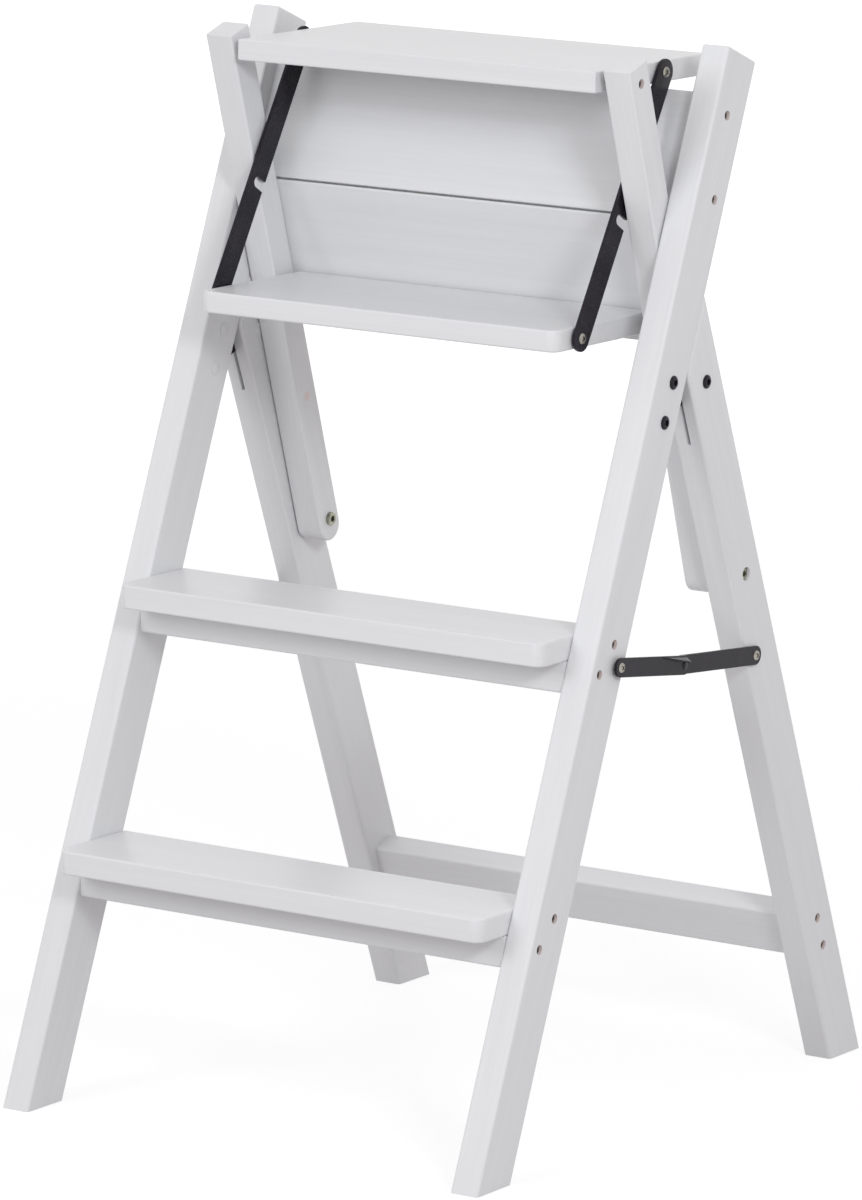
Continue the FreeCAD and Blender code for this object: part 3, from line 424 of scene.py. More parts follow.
def coated_steel(name, colour):
    """Coated steel with a fine texture and slightly lighter patches."""
    material, tree, shader = new_material(name)
    coordinates = object_coordinates(tree)
    fine = noise(tree, coordinates, scale=900.0, detail=3.0, roughness=0.6)
    patches = noise(tree, coordinates, scale=38.0, detail=3.0, roughness=0.6)
    mixed = mix_colour(tree, ramp(tree, patches, (0.42, 0.0), (0.72, 0.75)), colour,
                       shaded(colour, 1.9))
    tree.links.new(mixed, shader.inputs["Base Color"])
    add_roughness(tree, shader, fine, spread=0.16, lowest=0.18)
    shader.inputs["IOR"].default_value = COAT_IOR
    add_bump(tree, shader, fine, distance=0.00004, strength=0.6)
    return material


def plated_steel(name, colour, stain, roughness):
    """Plated steel with fine turning marks, and stains of its colour times a share."""
    material, tree, shader = new_material(name)
    coordinates = object_coordinates(tree)
    marks = noise(tree, coordinates, scale=1500.0, detail=2.0, roughness=0.6)
    stains = noise(tree, coordinates, scale=210.0, detail=3.0, roughness=0.6)
    mixed = mix_colour(tree, ramp(tree, stains, (0.40, 0.0), (0.75, 0.8)), colour,
                       shaded(colour, stain))
    tree.links.new(mixed, shader.inputs["Base Color"])
    add_roughness(tree, shader, stains, spread=0.2, lowest=roughness - 0.1)
    shader.inputs["Metallic"].default_value = 1.0
    add_bump(tree, shader, marks, distance=0.00002, strength=0.5)
    return material


def sunk_steel():
    """A sunk screw's dull steel, with specks of paint on it."""
    material, tree, shader = new_material("sunk_screw_steel")
    blots = noise(tree, object_coordinates(tree), scale=260.0, detail=3.0, roughness=0.6)
    mixed = mix_colour(tree, ramp(tree, blots, (0.52, 0.0), (0.68, 1.0)),
                       tuple(bpy.context.scene.stool_steel.zinc), PAINT_SPECK_COLOUR)
    tree.links.new(mixed, shader.inputs["Base Color"])
    add_roughness(tree, shader, blots, spread=0.2, lowest=0.42)
    add_bump(tree, shader, blots, distance=0.00008, strength=0.6)
    return material


def bare_wood():
    """The unpainted wood of the screw holes' walls and the struts' plugs."""
    material, tree, shader = new_material("bare_wood")
    fibres = noise(tree, object_coordinates(tree), scale=700.0, detail=3.0, roughness=0.6)
    bare = tuple(bpy.context.scene.stool_paint.bare_wood)
    mixed = mix_colour(tree, ramp(tree, fibres, (0.35, 0.0), (0.70, 1.0)), bare,
                       shaded(bare, FIBRE_SHADE))
    tree.links.new(mixed, shader.inputs["Base Color"])
    add_roughness(tree, shader, fibres, spread=0.2, lowest=0.60)
    add_bump(tree, shader, fibres, distance=0.00010, strength=0.6)
    return material


# Measures from the CAD

def pivot_of(node):
    """The middle of a CAD node's box in the YZ plane."""
    low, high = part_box(node)
    return Vector((0, (low.y + high.y) / 2, (low.z + high.z) / 2))


def lean_of(node):
    """A leg's lean from upright towards the rear, between its top and bottom fifths."""
    low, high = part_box(node)
    points = [vertex.co for vertex in frame["nodes"][node].data.vertices]
    rise = (high.z - low.z) * 0.8
    top = [point.y for point in points if point.z > low.z + rise]
    bottom = [point.y for point in points if point.z < high.z - rise]
    return atan2((max(top) + min(top)) / 2 - (max(bottom) + min(bottom)) / 2, rise)


def seat_frame_line():
    """The seat frame's pivot and its struts' direction upwards, from their bolts and pins."""
    pivot, top = pivot_of("strut_pivot_bolts"), pivot_of("top_step_pivots")
    return pivot, (top - pivot).normalized()


def solids_of(node):
    """The lowest and highest corner of each separate solid of a CAD node, in the node's order."""
    shape = bmesh.new()
    shape.from_mesh(frame["nodes"][node].data)
    bmesh.ops.remove_doubles(shape, verts=shape.verts, dist=MERGE)
    seen, boxes = set(), []
    for start in shape.verts:
        if start.index in seen:
            continue
        seen.add(start.index)
        island, waiting = [start], [start]
        while waiting:
            vertex = waiting.pop()
            for edge in vertex.link_edges:
                other = edge.other_vert(vertex)
                if other.index not in seen:
                    seen.add(other.index)
                    island.append(other)
                    waiting.append(other)
        boxes.append((Vector(min(vertex.co[axis] for vertex in island) for axis in range(3)),
                      Vector(max(vertex.co[axis] for vertex in island) for axis in range(3))))
    shape.free()
    return boxes


def turned_solids(node):
    """The boxes of a node's solids across the stool, and the first one's length and radius."""
    boxes = solids_of(node)
    low, high = boxes[0]
    return boxes, high.x - low.x, (high.z - low.z) / 2


# Shapes

def mesh_of(shape, name):
    """A new mesh of a shape, which is freed."""
    mesh = bpy.data.meshes.new(name)
    shape.to_mesh(mesh)
    shape.free()
    return mesh


def object_of(data, name):
    """A new object in the scene with a mesh, a light or a camera."""
    item = bpy.data.objects.new(name, data)
    bpy.context.scene.collection.objects.link(item)
    return item


def finish_piece(name, shape, materials, body, nodes=(), flat_area=1.0):
    """Make a piece of a shape, ride it on its body and let it stand for CAD nodes."""
    bmesh.ops.recalc_face_normals(shape, faces=shape.faces)
    for face in shape.faces:
        face.smooth = face.calc_area() < flat_area
    for edge in shape.edges:
        if len(edge.link_faces) == 2 and edge.calc_face_angle() > SHARP_ANGLE:
            edge.smooth = False
    piece = object_of(mesh_of(shape, name), name)
    for material in materials:
        piece.data.materials.append(material)
    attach(piece, body)
    if nodes:
        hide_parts(*nodes)


def finish_node(node, shape, materials, flat_area=1.0):
    """Make the piece that stands for a CAD node."""
    finish_piece(node + "_finished", shape, materials, BODY_OF[node], [node], flat_area)


def cover_node(node, material):
    """Put one material on all of a CAD node."""
    mesh = frame["nodes"][node].data
    if not mesh.materials:
        mesh.materials.append(material)
    for number in range(len(mesh.materials)):
        mesh.materials[number] = material


def number_faces(shape, number):
    """Give all of a shape's faces a material number."""
    for face in shape.faces:
        face.material_index = number


def ease_edges(shape, edges, radius, segments, clamp=True):
    """Round some edges of a shape."""
    bmesh.ops.bevel(shape, geom=edges, offset=radius, offset_type="OFFSET", segments=segments,
                    profile=0.5, affect="EDGES", material=-1, clamp_overlap=clamp)


def edges_over(shape, angle):
    """The edges between two faces that turn by more than an angle."""
    return [edge for edge in shape.edges
            if len(edge.link_faces) == 2 and edge.calc_face_angle() > angle]


def box_shape(size, middle):
    """A block of a size around a middle."""
    shape = bmesh.new()
    bmesh.ops.create_cube(shape, size=1.0)
    bmesh.ops.scale(shape, vec=size, verts=shape.verts)
    bmesh.ops.translate(shape, vec=middle, verts=shape.verts)
    return shape


def spun(profile, segments):
    """A turned shape about X from a profile of places along X and radii."""
    shape = bmesh.new()
    points = [shape.verts.new((along, 0.0, radius)) for along, radius in profile]
    edges = [shape.edges.new(pair) for pair in zip(points, points[1:])]
    bmesh.ops.spin(shape, geom=points + edges, cent=(0, 0, 0), axis=(1, 0, 0), angle=2 * pi,
                   steps=segments, use_merge=True)
    bmesh.ops.remove_doubles(shape, verts=shape.verts, dist=MERGE / 10)
    bmesh.ops.recalc_face_normals(shape, faces=shape.faces)
    return shape


def head_profile(outline, depth, radius, top=0.0):
    """The profile of a head from its outline, as places along X and radii."""
    return [(top - depth * down, radius * out) for down, out in outline]


def along_x(shape, face):
    """Turn a cutter from Z to X, with its middle on a face."""
    turn = Matrix.Rotation(QUARTER_TURN, 4, "Y")
    bmesh.ops.transform(shape, matrix=Matrix.Translation((face, 0, 0)) @ turn, verts=shape.verts)
    bmesh.ops.recalc_face_normals(shape, faces=shape.faces)
    return shape


def cross_cutter(radius, sizes, depth, face):
    """A tapered cross for a head of a radius, which reaches a depth below a face."""
    reach = radius * sizes.recess_share
    slot = reach * sizes.recess_slot
    shape = bmesh.new()
    bmesh.ops.create_grid(shape, x_segments=3, y_segments=3, size=1.0)
    for vertex in shape.verts:
        for axis in (0, 1):
            far = abs(vertex.co[axis]) > 0.5
            vertex.co[axis] = (reach if far else slot / 2) * (1 if vertex.co[axis] > 0 else -1)
    corners = [item for item in shape.faces
               if min(abs(place) for place in item.calc_center_median()[:2]) > slot]
    bmesh.ops.delete(shape, geom=corners, context="FACES")
    grown = bmesh.ops.extrude_face_region(shape, geom=shape.faces[:])
    lowered = [item for item in grown["geom"] if isinstance(item, bmesh.types.BMVert)]
    bmesh.ops.scale(shape, vec=(RECESS_TAPER, RECESS_TAPER, 1.0), verts=lowered)
    bmesh.ops.translate(shape, vec=(0, 0, -2 * depth), verts=lowered)
    bmesh.ops.translate(shape, vec=(0, 0, depth), verts=shape.verts)
    return along_x(shape, face)


def hex_cutter(radius, sizes, depth, face):
    """A hexagon prism for a head of a radius, which reaches a depth below a face."""
    reach = radius * sizes.hex_share
    shape = bmesh.new()
    bmesh.ops.create_cone(shape, cap_ends=True, segments=6, radius1=reach, radius2=reach,
                          depth=2 * depth)
    return along_x(shape, face)


def less(shape, cutter, recess_material=0):
    """A shape without a cutter's space; the recess's faces get a material number."""
    number_faces(cutter, recess_material)
    holders = []
    for name, source in (("whole", shape), ("cutter", cutter)):
        holder = object_of(mesh_of(source, name), name)
        for _ in range(recess_material + 1):
            holder.data.materials.append(None)
        holders.append(holder)
    modifier = holders[0].modifiers.new("recess", "BOOLEAN")
    modifier.operation = "DIFFERENCE"
    modifier.solver = "EXACT"
    modifier.object = holders[1]
    bpy.context.view_layer.update()
    evaluated = holders[0].evaluated_get(bpy.context.evaluated_depsgraph_get())
    result = bmesh.new()
    result.from_mesh(evaluated.to_mesh())
    evaluated.to_mesh_clear()
    for holder in holders:
        mesh = holder.data
        bpy.data.objects.remove(holder)
        bpy.data.meshes.remove(mesh)
    return result


def add_shape(shape, other):
    """Put another shape into a shape."""
    mesh = mesh_of(other, "added")
    shape.from_mesh(mesh)
    bpy.data.meshes.remove(mesh)


def placed_copies(template, places):
    """One shape with a copy of a template at each place; a place is a matrix."""
    mesh = mesh_of(template, "template")
    gathered = bmesh.new()
    for matrix in places:
        before = len(gathered.verts)
        gathered.from_mesh(mesh)
        gathered.verts.ensure_lookup_table()
        bmesh.ops.transform(gathered, matrix=matrix, verts=gathered.verts[before:])
    bpy.data.meshes.remove(mesh)
    return gathered


def sideways(boxes):
    """For solids that point across the stool: a place at each outer end, pointing outwards."""
    places = []
    for number, (low, high) in enumerate(boxes, start=1):
        middle = (low + high) / 2
        side = 1 if middle.x > 0 else -1
        outer_end = high.x if side > 0 else low.x
        facing = Matrix.Identity(4) if side > 0 else Matrix.Rotation(pi, 4, "Z")
        places.append(Matrix.Translation((outer_end, middle.y, middle.z)) @ facing
                      @ Matrix.Rotation(RECESS_TURN * number, 4, "X"))
    return places


def plug_shape(radius, sizes):
    """A low disc on a face at X = 0, with an eased rim, that points along X."""
    proud = sizes.plug_proud
    return spun([(proud, 0), (proud, radius * PLUG_TOP), (proud * PLUG_BEVEL, radius),
                 (-proud * 2, radius), (-proud * 2, 0)], sizes.segments)


def eased_copy(node, edge):
    """A CAD node's shape with its doubles merged, flat faces joined and sharp edges eased."""
    shape = bmesh.new()
    shape.from_mesh(frame["nodes"][node].data)
    bmesh.ops.remove_doubles(shape, verts=shape.verts, dist=MERGE * 2)
    bmesh.ops.dissolve_limit(shape, angle_limit=FLAT_ANGLE, verts=shape.verts,
                             edges=shape.edges)
    ease_edges(shape, edges_over(shape, EDGE_ANGLE), edge, 2)
    bmesh.ops.remove_doubles(shape, verts=shape.verts, dist=MERGE)
    return shape


def thumb_tab(length, reach, sizes):
    """A stay's thumb tab: it widens along the upper edge and falls outwards; its upward faces get
    the second material, a painted highlight.
    """
    half = STAY_WIDTH / 2
    start, end = length - sizes.tab_run, length + half * TAB_PAST_KNEE
    outline = ((TAB_ROOT, start), (STAY_THICKNESS, start), (reach, end - half * TAB_TIP),
               (reach, end), (TAB_ROOT, end))
    bottom = half - TAB_THICKNESS - FACE_GAP
    tab = bmesh.new()
    corners = [tab.verts.new((out, along, bottom)) for out, along in outline]
    grown = bmesh.ops.extrude_face_region(tab, geom=[tab.faces.new(corners)])
    raised = [item for item in grown["geom"] if isinstance(item, bmesh.types.BMVert)]
    bmesh.ops.translate(tab, vec=(0, 0, TAB_THICKNESS), verts=raised)
    outer = [vertex for vertex in tab.verts if vertex.co.x > STAY_THICKNESS + FACE_GAP]
    bmesh.ops.translate(tab, vec=(0, 0, -sizes.tab_fall), verts=outer)
    bmesh.ops.triangulate(tab, faces=tab.faces[:])
    ease_edges(tab, edges_over(tab, EDGE_ANGLE), sizes.bar_edge, 2)
    bmesh.ops.recalc_face_normals(tab, faces=tab.faces)
    # Upward faces take the second material, a painted highlight for the light from above
    for face in tab.faces:
        face.material_index = 1 if face.normal.z > 0.5 else 0
    return tab


def front_stay(node, sizes):
    """A front stay plate: a flat bar with round ends and a thumb tab on its upper edge."""
    low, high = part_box(node)
    side, inner = (1, low.x) if low.x > 0 else (-1, high.x)
    start, knee = pivot_of("stay_front_screws"), pivot_of("stay_knee_rivets")
    along = (knee - start).normalized()
    length = (knee - start).length
    bar = box_shape((STAY_THICKNESS, length + STAY_WIDTH, STAY_WIDTH),
                    (STAY_THICKNESS / 2, length / 2, 0))
    corners = [edge for edge in bar.edges
               if abs(edge.verts[0].co.x - edge.verts[1].co.x) > STAY_THICKNESS / 2]
    ease_edges(bar, corners, STAY_WIDTH / 2 * STAY_END_ROUND, STAY_END_SEGMENTS)
    ease_edges(bar, edges_over(bar, CORNER_ANGLE), sizes.bar_edge, 2)
    add_shape(bar, thumb_tab(length, high.x - low.x, sizes))
    axes = Matrix((Vector((side, 0, 0)), along, Vector((0, -along.z, along.y)))).transposed()
    place = Matrix.Translation((inner, start.y, start.z)) @ axes.to_4x4()
    bmesh.ops.transform(bar, matrix=place, verts=bar.verts)
    return bar


# The stage

def looked_at(tree):
    """1 for what the camera or a reflection sees, and 0 for what lights a surface."""
    path = tree.nodes.new("ShaderNodeLightPath").outputs
    seen = combine(tree, "MAXIMUM", path["Is Camera Ray"], path["Is Glossy Ray"])
    return combine(tree, "MAXIMUM", seen, path["Is Transmission Ray"])


def lay_floor(stage):
    """A plain pale floor that the camera sees as white, with the stool's soft shadow on it."""
    shape = bmesh.new()
    bmesh.ops.create_grid(shape, x_segments=1, y_segments=1, size=stage.floor_size / 2)
    floor = object_of(mesh_of(shape, "floor"), "floor")
    material = bpy.data.materials.new("pale_floor")
    material.use_nodes = True
    tree = material.node_tree
    tree.nodes.clear()
    output = tree.nodes.new("ShaderNodeOutputMaterial")
    plain = tree.nodes.new("ShaderNodeBsdfDiffuse")
    plain.inputs["Color"].default_value = FLOOR_LIT_COLOUR
    pale = tree.nodes.new("ShaderNodeBsdfDiffuse")
    pale.inputs["Color"].default_value = FLOOR_SEEN_COLOUR
    distance = tree.nodes.new("ShaderNodeVectorMath")
    distance.operation = "LENGTH"
    tree.links.new(object_coordinates(tree), distance.inputs[0])
    spread = tree.nodes.new("ShaderNodeMapRange")
    spread.interpolation_type = "SMOOTHSTEP"
    for name, value in zip(("From Min", "From Max", "To Min", "To Max"),
                           FLOOR_GLOW_DISTANCES + FLOOR_GLOW_STRENGTHS):
        spread.inputs[name].default_value = value
    tree.links.new(distance.outputs["Value"], spread.inputs["Value"])
    glow = tree.nodes.new("ShaderNodeEmission")
    tree.links.new(spread.outputs["Result"], glow.inputs["Strength"])
    seen = tree.nodes.new("ShaderNodeAddShader")
    tree.links.new(pale.outputs["BSDF"], seen.inputs[0])
    tree.links.new(glow.outputs["Emission"], seen.inputs[1])
    mixed = tree.nodes.new("ShaderNodeMixShader")
    tree.links.new(looked_at(tree), mixed.inputs["Fac"])
    tree.links.new(plain.outputs["BSDF"], mixed.inputs[1])
    tree.links.new(seen.outputs["Shader"], mixed.inputs[2])
    tree.links.new(mixed.outputs["Shader"], output.inputs["Surface"])
    floor.data.materials.append(material)


def light_the_world(stage):
    """Even light from all sides, which the camera and reflections see as white."""
    world = bpy.data.worlds.new("studio")
    bpy.context.scene.world = world
    world.use_nodes = True
    tree = world.node_tree
    tree.nodes.clear()
    output = tree.nodes.new("ShaderNodeOutputWorld")
    mixed = tree.nodes.new("ShaderNodeMixShader")
    tree.links.new(looked_at(tree), mixed.inputs["Fac"])
    for number, colour, strength in ((1, SKY_COLOUR, stage.sky_strength), (2, WHITE, 1.0)):
        light = tree.nodes.new("ShaderNodeBackground")
        light.inputs["Color"].default_value = colour
        light.inputs["Strength"].default_value = strength
        tree.links.new(light.outputs["Background"], mixed.inputs[number])
    tree.links.new(mixed.outputs["Shader"], output.inputs["Surface"])


def hang_lamp(name, place, size, power):
    """A square soft lamp that points at the stool and that reflections don't show."""
    data = bpy.data.lights.new(name, "AREA")
    data.shape = "SQUARE"
    data.size = size
    data.energy = power
    data.color = LAMP_COLOUR
    lamp = object_of(data, name)
    lamp.visible_glossy = False
    lamp.location = place
    lamp.rotation_mode = "QUATERNION"
    lamp.rotation_quaternion = (Vector(LAMP_TARGET) - Vector(place)).to_track_quat("-Z", "Y")


def set_camera(stage):
    """The camera at the photograph's viewing angle."""
    data = bpy.data.cameras.new("camera")
    camera = object_of(data, "camera")
    data.sensor_width = CAMERA_SENSOR
    data.lens = stage.lens
    data.shift_x, data.shift_y = CAMERA_SHIFT
    data.clip_start, data.clip_end = CAMERA_CLIP
    across = Vector((cos(stage.azimuth), sin(stage.azimuth), 0))
    ahead = Vector((-sin(stage.azimuth) * cos(stage.elevation),
                    cos(stage.azimuth) * cos(stage.elevation), -sin(stage.elevation)))
    up = across.cross(ahead)
    right = across * cos(stage.roll) + up * sin(stage.roll)
    upright = up * cos(stage.roll) - across * sin(stage.roll)
    axes = Matrix((right, upright, -ahead)).transposed().to_4x4()
    camera.matrix_world = Matrix.Translation(CAMERA_PLACE) @ axes
    bpy.context.scene.camera = camera


# Operators

class STOOL_OT_set_stage(bpy.types.Operator):
    """Lay the floor, hang the lamps and set the camera"""
    bl_idname = "stool.set_stage"
    bl_label = "Set Stage"

    def execute(self, context):
        stage = context.scene.stool_stage
        lay_floor(stage)
        light_the_world(stage)
        hang_lamp("left_lamp", LEFT_LAMP_PLACE, LEFT_LAMP_SIZE, stage.left_power)
        hang_lamp("right_lamp", RIGHT_LAMP_PLACE, RIGHT_LAMP_SIZE, stage.right_power)
        set_camera(stage)
        context.scene.view_settings.view_transform = "Standard"
        return {"FINISHED"}


class STOOL_OT_paint_boards(bpy.types.Operator):
    """Give every board its satin paint, with the grain running the board's way"""
    bl_idname = "stool.paint_boards"
    bl_label = "Paint Boards"

    def execute(self, context):
        front_lean = lean_of("front_leg_right")
        for boards, name, lean, across in (
                (BOARDS_UP_FRONT, "paint_front_legs", front_lean, False),
                (BOARDS_UP_REAR, "paint_rear_legs", lean_of("rear_leg_right"), False),
                (BOARDS_UP_SEAT, "paint_struts", lean_of("strut_right"), False),
                (BOARDS_LEVEL, "paint_treads", 0.0, True),
                (BOARDS_ACROSS, "paint_rails_and_panels", front_lean, True)):
            material = painted_wood(name, lean, across)
            for board in boards:
                cover_node(board, material)
        return {"FINISHED"}


class STOOL_OT_make_treads(bpy.types.Operator):
    """Make the fixed treads and the third step, with rounded front corners and eased edges"""
    bl_idname = "stool.make_treads"
    bl_label = "Make Treads"

    def execute(self, context):
        paint = context.scene.stool_paint
        for node, corner in (("lower_tread", paint.tread_corner),
                             ("middle_tread", paint.tread_corner),
                             ("third_step", paint.step_corner)):
            low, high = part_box(node)
            board = box_shape(high - low, (low + high) / 2)
            front = [edge for edge in board.edges
                     if abs(edge.verts[0].co.z - edge.verts[1].co.z) > NEAR
                     and edge.verts[0].co.y < low.y + NEAR]
            ease_edges(board, front, corner, TREAD_CORNER_SEGMENTS, clamp=False)
            ease_edges(board, edges_over(board, CORNER_ANGLE), paint.board_edge,
                       TREAD_EDGE_SEGMENTS, clamp=False)
            finish_node(node, board, (bpy.data.materials["paint_treads"],),
                        BOARD_FLAT_AREA)
        return {"FINISHED"}


class STOOL_OT_make_flat_bars(bpy.types.Operator):
    """Make the links, stays and hinge plates with eased edges, and the stays' thumb tabs with a
    painted highlight on their tops
    """
    bl_idname = "stool.make_flat_bars"
    bl_label = "Make Links, Stays and Plates"

    def execute(self, context):
        sizes = context.scene.stool_fasteners
        steel = context.scene.stool_steel
        black = coated_steel("black_coated_steel", tuple(steel.black))
        # Lighter copy of the coating for the tabs' tops: a painted highlight
        tab_top_highlight = coated_steel("lit_tab_top_steel", tuple(steel.tab_top_highlight))
        for stem in ("link", "hinge_plate", "stay_front_plate", "stay_rear_plate"):
            for node in (stem + "_right", stem + "_left"):
                if stem == "stay_front_plate":
                    bar, steels = front_stay(node, sizes), (black, tab_top_highlight)
                else:
                    bar, steels = eased_copy(node, sizes.bar_edge), (black,)
                finish_node(node, bar, steels, BAR_FLAT_AREA)
        return {"FINISHED"}


class STOOL_OT_make_sunk_screws(bpy.types.Operator):
    """Make the dark screws and pins in the boards, sunk in holes lined with bare wood"""
    bl_idname = "stool.make_sunk_screws"
    bl_label = "Make Sunk Screws"

    def execute(self, context):
        sizes = context.scene.stool_fasteners
        materials = (sunk_steel(), bare_wood())
        for node in ("front_frame_screws", "rear_rail_screws", "top_step_pivots",
                     "third_step_pivots"):
            boxes, length, radius = turned_solids(node)
            shank = radius * (SCREW_SHANK if node.endswith("screws") else PIN_SHANK)
            head = -sizes.head_sink
            under_head = head - radius * SUNK_HEAD_HEIGHT
            screw = spun(head_profile(SUNK_HEAD, radius, radius, head)
                         + [(under_head, shank), (-length + shank, shank), (-length, 0)],
                         sizes.segments)
            screw = less(screw, cross_cutter(radius, sizes, radius * sizes.recess_depth, head))
            mouth = SCREW_SINK - sizes.lining_setback
            inside, outside = radius * LINING_INSIDE, radius * LINING_OUTSIDE
            lining = spun([(mouth, inside), (under_head, inside), (under_head, outside),
                           (mouth, outside), (mouth, inside)], sizes.segments)
            number_faces(lining, 1)
            add_shape(screw, lining)
            finish_node(node, placed_copies(screw, sideways(boxes)), materials)
        return {"FINISHED"}


class STOOL_OT_make_plugs(bpy.types.Operator):
    """Make the flush plugs in the seat frame's struts and in the lower batten"""
    bl_idname = "stool.make_plugs"
    bl_label = "Make Wood Plugs"

    def execute(self, context):
        sizes = context.scene.stool_fasteners
        pivot, seat_up = seat_frame_line()
        middle = pivot + seat_up * STRUT_PLUG_STATION
        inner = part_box("strut_right")[0].x
        places = [Matrix.Translation((inner, middle.y, middle.z)) @ Matrix.Rotation(pi, 4, "Z"),
                  Matrix.Translation((-inner, middle.y, middle.z))]
        strut_plugs = placed_copies(plug_shape(sizes.strut_plug, sizes), places)
        finish_piece("strut_plugs", strut_plugs, (bpy.data.materials["bare_wood"],),
                     "seat_frame")
        low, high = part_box("lower_batten")
        height = (low.z + high.z) / 2 - BATTEN_PLUG_DROP
        place = (Matrix.Translation((BATTEN_PLUG_ACROSS, low.y, height))
                 @ Matrix.Rotation(-QUARTER_TURN, 4, "Z"))
        batten_plug = placed_copies(plug_shape(sizes.batten_plug, sizes), [place])
        finish_piece("batten_plug", batten_plug, (bpy.data.materials["paint_rails_and_panels"],),
                     "front_frame")
        return {"FINISHED"}


class STOOL_OT_make_seat_screws(bpy.types.Operator):
    """Make the screws in the rear face of the seat panel"""
    bl_idname = "stool.make_seat_screws"
    bl_label = "Make Seat Panel Screws"

    def execute(self, context):
        sizes = context.scene.stool_fasteners
        node = "seat_panel_screws"
        seat_up = seat_frame_line()[1]
        lean = -atan2(seat_up.y, seat_up.z)
        outward, across = Vector((0, cos(lean), sin(lean))), Vector((1, 0, 0))
        turn = Matrix((outward, across, outward.cross(across))).transposed().to_4x4()
        boxes = solids_of(node)
        low, high = boxes[0]
        radius = (high.x - low.x) / 2
        length = (high.y - low.y - 2 * radius * sin(lean)) / cos(lean)
        places = [Matrix.Translation((low + high) / 2 + outward * (length / 2)) @ turn
                  for low, high in boxes]
        head = head_profile(SEAT_SCREW_HEAD, 1, radius)
        screw = spun(head + [(-length, radius * SEAT_SCREW_TIP), (-length, 0)], sizes.segments)
        cutter = cross_cutter(radius, sizes, radius * sizes.recess_depth, head[0][0])
        finish_node(node, placed_copies(less(screw, cutter), places),
                    (bpy.data.materials["sunk_screw_steel"],))
        return {"FINISHED"}


class STOOL_OT_make_black_bolts(bpy.types.Operator):
    """Make the black bolts through the hinge plates, domed, with a hexagon socket"""
    bl_idname = "stool.make_black_bolts"
    bl_label = "Make Black Bolts"

    def execute(self, context):
        sizes = context.scene.stool_fasteners
        materials = (bpy.data.materials["black_coated_steel"],
                     bpy.data.materials["paint_front_legs"])
        for node in ("hinge_plate_bolts", "hinge_bolts"):
            boxes, length, radius = turned_solids(node)
            under_head = max(high.x for low, high in boxes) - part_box("front_leg_right")[1].x
            shank = radius * BOLT_SHANK
            cover_top = -length + sizes.plug_thickness
            bolt = spun(head_profile(BLACK_BOLT_HEAD, 1, radius)
                        + [(-under_head, radius), (-under_head, shank), (cover_top, shank),
                           (cover_top, 0)], sizes.segments)
            bolt = less(bolt, hex_cutter(radius, sizes, radius * sizes.recess_depth, 0.0))
            cover = spun([(cover_top, 0), (cover_top, radius), (-length + COVER_BEVEL, radius),
                          (-length, radius * COVER_EDGE), (-length, 0)], sizes.segments)
            number_faces(cover, 1)
            add_shape(bolt, cover)
            finish_node(node, placed_copies(bolt, sideways(boxes)), materials)
        return {"FINISHED"}


class STOOL_OT_make_seat_bolts(bpy.types.Operator):
    """Make the bronze plated bolts that the seat frame turns on"""
    bl_idname = "stool.make_seat_bolts"
    bl_label = "Make Seat Frame Bolts"

    def execute(self, context):
        sizes = context.scene.stool_fasteners
        node = "strut_pivot_bolts"
        boxes, length, radius = turned_solids(node)
        bronze = plated_steel("bronze_plated_steel", tuple(context.scene.stool_steel.bronze),
                              stain=0.35, roughness=0.38)
        shank = radius * BOLT_SHANK
        head = head_profile(SEAT_BOLT_HEAD, 1, radius)
        bolt = spun(head + [(head[-1][0], shank), (-length + NUT_HEIGHT, shank),
                            (-length + NUT_HEIGHT, radius * NUT_EDGE[0]),
                            (-length + NUT_BEVEL, radius * NUT_EDGE[1]),
                            (-length, radius * NUT_EDGE[2]), (-length, 0)], sizes.segments)
        bolt = less(bolt, hex_cutter(radius, sizes, radius * sizes.recess_depth, 0.0))
        bolt = less(bolt, hex_cutter(radius, sizes, radius * NUT_RECESS_DEPTH, -length))
        finish_node(node, placed_copies(bolt, sideways(boxes)), (bronze,))
        return {"FINISHED"}


class STOOL_OT_make_bright_screws(bpy.types.Operator):
    """Make the bright screws of the links and stays, with domed heads and cross recesses"""
    bl_idname = "stool.make_bright_screws"
    bl_label = "Make Bright Screws"

    def execute(self, context):
        sizes = context.scene.stool_fasteners
        bright = tuple(context.scene.stool_steel.bright)
        # The second material, a darker copy of the bright plating for the cross recesses, is
        # painted shade
        materials = (plated_steel("bright_plated_steel", bright, stain=0.45, roughness=0.34),
                     plated_steel("shaded_recess_steel", shaded(bright, 0.22), stain=0.5,
                                  roughness=0.6))
        leg_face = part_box("front_leg_right")[1].x
        for node, plate in (("link_upper_screws", "link_right"),
                            ("link_lower_screws", "link_right"),
                            ("stay_front_screws", "stay_front_plate_right"),
                            ("stay_rear_screws", "stay_rear_plate_right")):
            boxes, length, radius = turned_solids(node)
            outer_end = max(high.x for low, high in boxes)
            low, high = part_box(plate)
            outer_face = low.x + STAY_THICKNESS if plate.startswith("stay_front") else high.x
            head = outer_end - outer_face - FACE_GAP
            collar_top = outer_end - low.x + FACE_GAP
            collar_bottom = collar_top + (LINK_SPACER if plate.startswith("link")
                                          else low.x - leg_face - FACE_GAP)
            shank, collar = radius * SCREW_SHANK, radius * COLLAR_RADIUS
            screw = spun(head_profile(DOMED_HEAD, head, radius)
                         + [(-head, shank), (-collar_top, shank), (-collar_top, collar),
                            (-collar_bottom, collar), (-collar_bottom, shank),
                            (-length + shank, shank), (-length, 0)], sizes.segments)
            depth = radius * sizes.recess_depth * BRIGHT_RECESS_DEPTH
            # The recess's faces get material number 1, the painted shade
            screw = less(screw, cross_cutter(radius, sizes, depth, 0.0), 1)
            finish_node(node, placed_copies(screw, sideways(boxes)), materials)
        return {"FINISHED"}


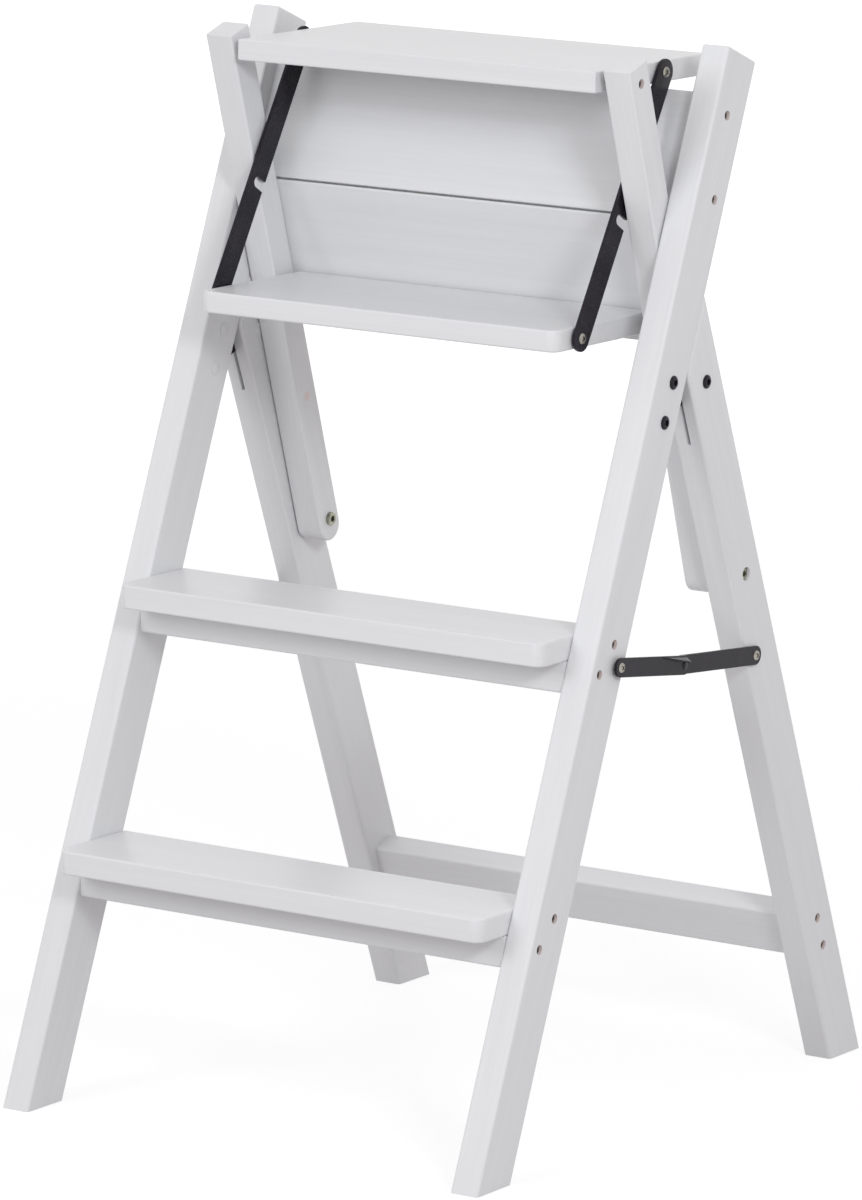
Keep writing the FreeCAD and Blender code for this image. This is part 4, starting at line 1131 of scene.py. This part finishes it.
class STOOL_OT_make_rivets(bpy.types.Operator):
    """Make the domed rivets at the stays' knees"""
    bl_idname = "stool.make_rivets"
    bl_label = "Make Knee Rivets"

    def execute(self, context):
        sizes = context.scene.stool_fasteners
        node = "stay_knee_rivets"
        boxes, length, radius = turned_solids(node)
        shank = radius * RIVET_SHANK
        rivet = spun(head_profile(RIVET_HEAD, RIVET_HEIGHT, radius)
                     + [(-RIVET_HEIGHT, shank), (-length, shank), (-length, 0)], sizes.segments)
        finish_node(node, placed_copies(rivet, sideways(boxes)),
                    (bpy.data.materials["black_coated_steel"],))
        return {"FINISHED"}


class STOOL_PT_panel(bpy.types.Panel):
    """The stool's pieces and their sizes"""
    bl_label = "Step Stool"
    bl_idname = "STOOL_PT_panel"
    bl_space_type = "VIEW_3D"
    bl_region_type = "UI"
    bl_category = "Step Stool"

    def draw(self, context):
        for title, group in (("Paint", "stool_paint"), ("Steel", "stool_steel"),
                             ("Fasteners", "stool_fasteners"), ("Stage", "stool_stage")):
            box = self.layout.box()
            box.label(text=title)
            sizes = getattr(context.scene, group)
            for name in sizes.__annotations__:
                box.prop(sizes, name)
        for operator in OPERATORS:
            self.layout.operator(operator.bl_idname)


GROUPS = (("stool_paint", PaintSizes), ("stool_steel", SteelSizes),
          ("stool_fasteners", FastenerSizes), ("stool_stage", StageSizes))
OPERATORS = (STOOL_OT_set_stage, STOOL_OT_paint_boards, STOOL_OT_make_treads,
             STOOL_OT_make_flat_bars, STOOL_OT_make_sunk_screws, STOOL_OT_make_plugs,
             STOOL_OT_make_seat_screws, STOOL_OT_make_black_bolts, STOOL_OT_make_seat_bolts,
             STOOL_OT_make_bright_screws, STOOL_OT_make_rivets)


def register():
    """Add the classes and the groups of sizes."""
    for name, group in GROUPS:
        bpy.utils.register_class(group)
        setattr(bpy.types.Scene, name, PointerProperty(type=group))
    for operator in OPERATORS:
        bpy.utils.register_class(operator)
    bpy.utils.register_class(STOOL_PT_panel)


def unregister():
    """Take the classes and the groups of sizes away again."""
    bpy.utils.unregister_class(STOOL_PT_panel)
    for operator in reversed(OPERATORS):
        bpy.utils.unregister_class(operator)
    for name, group in reversed(GROUPS):
        delattr(bpy.types.Scene, name)
        bpy.utils.unregister_class(group)


def main():
    """Make every piece."""
    register()
    bpy.ops.stool.set_stage()
    bpy.ops.stool.paint_boards()
    bpy.ops.stool.make_treads()
    bpy.ops.stool.make_flat_bars()
    bpy.ops.stool.make_sunk_screws()
    bpy.ops.stool.make_plugs()
    bpy.ops.stool.make_seat_screws()
    bpy.ops.stool.make_black_bolts()
    bpy.ops.stool.make_seat_bolts()
    bpy.ops.stool.make_bright_screws()
    bpy.ops.stool.make_rivets()


if __name__ == "__main__":
    main()
